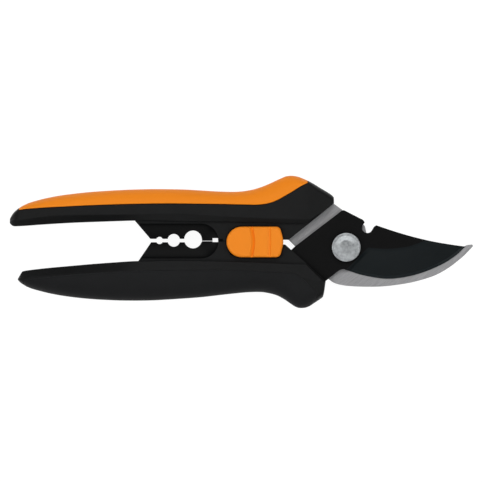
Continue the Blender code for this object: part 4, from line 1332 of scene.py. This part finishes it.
class PRUNER_OT_spring(bpy.types.Operator):
    """Builds the return spring, which sits between the two handles"""

    bl_idname = "pruner.spring"
    bl_label = "Return Spring"

    def execute(self, context):
        _, colours = settings(context)
        spring = soften(make("coil_spring", coil(), [drawn_steel(colours)]))
        x, _, z = centre(SPRING_LOW, SPRING_HIGH)
        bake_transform(spring)
        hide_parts("return_spring")
        return {"FINISHED"}


class PRUNER_OT_tang_pins(bpy.types.Operator):
    """Builds the pins that hold each blade's tang in its handle"""

    bl_idname = "pruner.tang_pins"
    bl_label = "Tang Pins"

    def execute(self, context):
        sizes, colours = settings(context)
        finish = zinc(colours)
        for handle, body in ((upper(sizes), "upper_half"), (lower(sizes), "lower_half")):
            for number, (x, y) in enumerate(pin_places(handle), 1):
                profile = pin_profile(PIN_R, PIN_LOW.z, PIN_HIGH.z, 0.25)
                pin = make(f"{handle.name}_blade_pin_{number}", turning(profile, x, y, 48), [finish])
                settle(soften(pin), body, "zinc", f"{handle.name}_tang_pin_{number}")
        return {"FINISHED"}


class PRUNER_OT_stage(bpy.types.Operator):
    """Lays the pale floor, hangs four soft lamps and sets the camera straight above the tool"""

    bl_idname = "pruner.stage"
    bl_label = "Stage"

    def execute(self, context):
        _, colours = settings(context)
        self.floor(colours)
        self.surround(context.scene)
        for name, turn, rise, power, wide in (
            ("lamp_back", 90, 60, 3.3, 0.6),
            ("lamp_front", -90, 58, 2.1, 0.6),
            ("lamp_left", 180, 52, 2.9, 0.6),
            ("lamp_right", 0, 48, 1.9, 0.6),
        ):
            self.lamp(name, turn, rise, power, wide)
        self.camera(context.scene)
        context.scene.view_settings.view_transform = "Standard"
        return {"FINISHED"}

    def floor(self, colours):
        half, top = 1500, UPPER_LOW.z
        make("floor", block((-half, -half, top - 5), (half, half, top)), [paper(colours)])

    def surround(self, scene):
        world = bpy.data.worlds.new("soft_surround")
        world.use_nodes = True
        sky = world.node_tree.nodes["Background"]
        sky.inputs["Color"].default_value = (1, 1, 1, 1)
        sky.inputs["Strength"].default_value = 0.22
        scene.world = world

    def lamp(self, name, turn, rise, power, wide):
        """A square softbox a metre off, turned about Z and raised above the floor, in degrees."""
        light = bpy.data.lights.new(name, "AREA")
        light.energy = power
        light.size = wide
        lamp = bpy.data.objects.new(name, light)
        a, e = radians(turn), radians(rise)
        middle = Vector((-0.04, 0.0, 0.0))
        way = Vector((cos(a) * cos(e), sin(a) * cos(e), sin(e)))
        lamp.location = middle + way
        lamp.rotation_euler = way.to_track_quat("Z", "Y").to_euler()
        lamp.visible_camera = False
        bpy.context.scene.collection.objects.link(lamp)

    def camera(self, scene):
        lens = bpy.data.cameras.new("camera")
        lens.lens = 400
        lens.sensor_width = 36
        lens.clip_end = 50
        camera = bpy.data.objects.new("camera", lens)
        wide = 0.1928  # the width that the frame takes in, at the middle of the handles
        camera.location = (-0.042, 0.00248, MID_Z * MM + wide * lens.lens / lens.sensor_width)
        scene.collection.objects.link(camera)
        scene.camera = camera


class PRUNER_PT_panel(bpy.types.Panel):
    """Sidebar panel that builds the pruner piece by piece"""

    bl_idname = "PRUNER_PT_panel"
    bl_label = "Bypass Hand Pruner"
    bl_space_type = "VIEW_3D"
    bl_region_type = "UI"
    bl_category = "Pruner"

    def draw(self, context):
        sizes, colours = settings(context)
        for group in (sizes, colours):
            box = self.layout.box()
            for name in type(group).__annotations__:
                box.prop(group, name)
        for operator in OPERATORS:
            self.layout.operator(operator.bl_idname)


OPERATORS = (
    PRUNER_OT_handles,
    PRUNER_OT_grips,
    PRUNER_OT_blades,
    PRUNER_OT_pivot,
    PRUNER_OT_lock,
    PRUNER_OT_spring,
    PRUNER_OT_tang_pins,
    PRUNER_OT_stage,
)
CLASSES = (PrunerColours, PrunerSizes, *OPERATORS, PRUNER_PT_panel)


def register():
    for item in CLASSES:
        bpy.utils.register_class(item)
    bpy.types.Scene.pruner_sizes = bpy.props.PointerProperty(type=PrunerSizes)
    bpy.types.Scene.pruner_colours = bpy.props.PointerProperty(type=PrunerColours)


def unregister():
    del bpy.types.Scene.pruner_colours
    del bpy.types.Scene.pruner_sizes
    for item in reversed(CLASSES):
        bpy.utils.unregister_class(item)


def main():
    register()
    bpy.ops.pruner.handles()
    bpy.ops.pruner.grips()
    bpy.ops.pruner.blades()
    bpy.ops.pruner.pivot()
    bpy.ops.pruner.lock()
    bpy.ops.pruner.spring()
    bpy.ops.pruner.tang_pins()
    bpy.ops.pruner.stage()


if __name__ == "__main__":
    main()
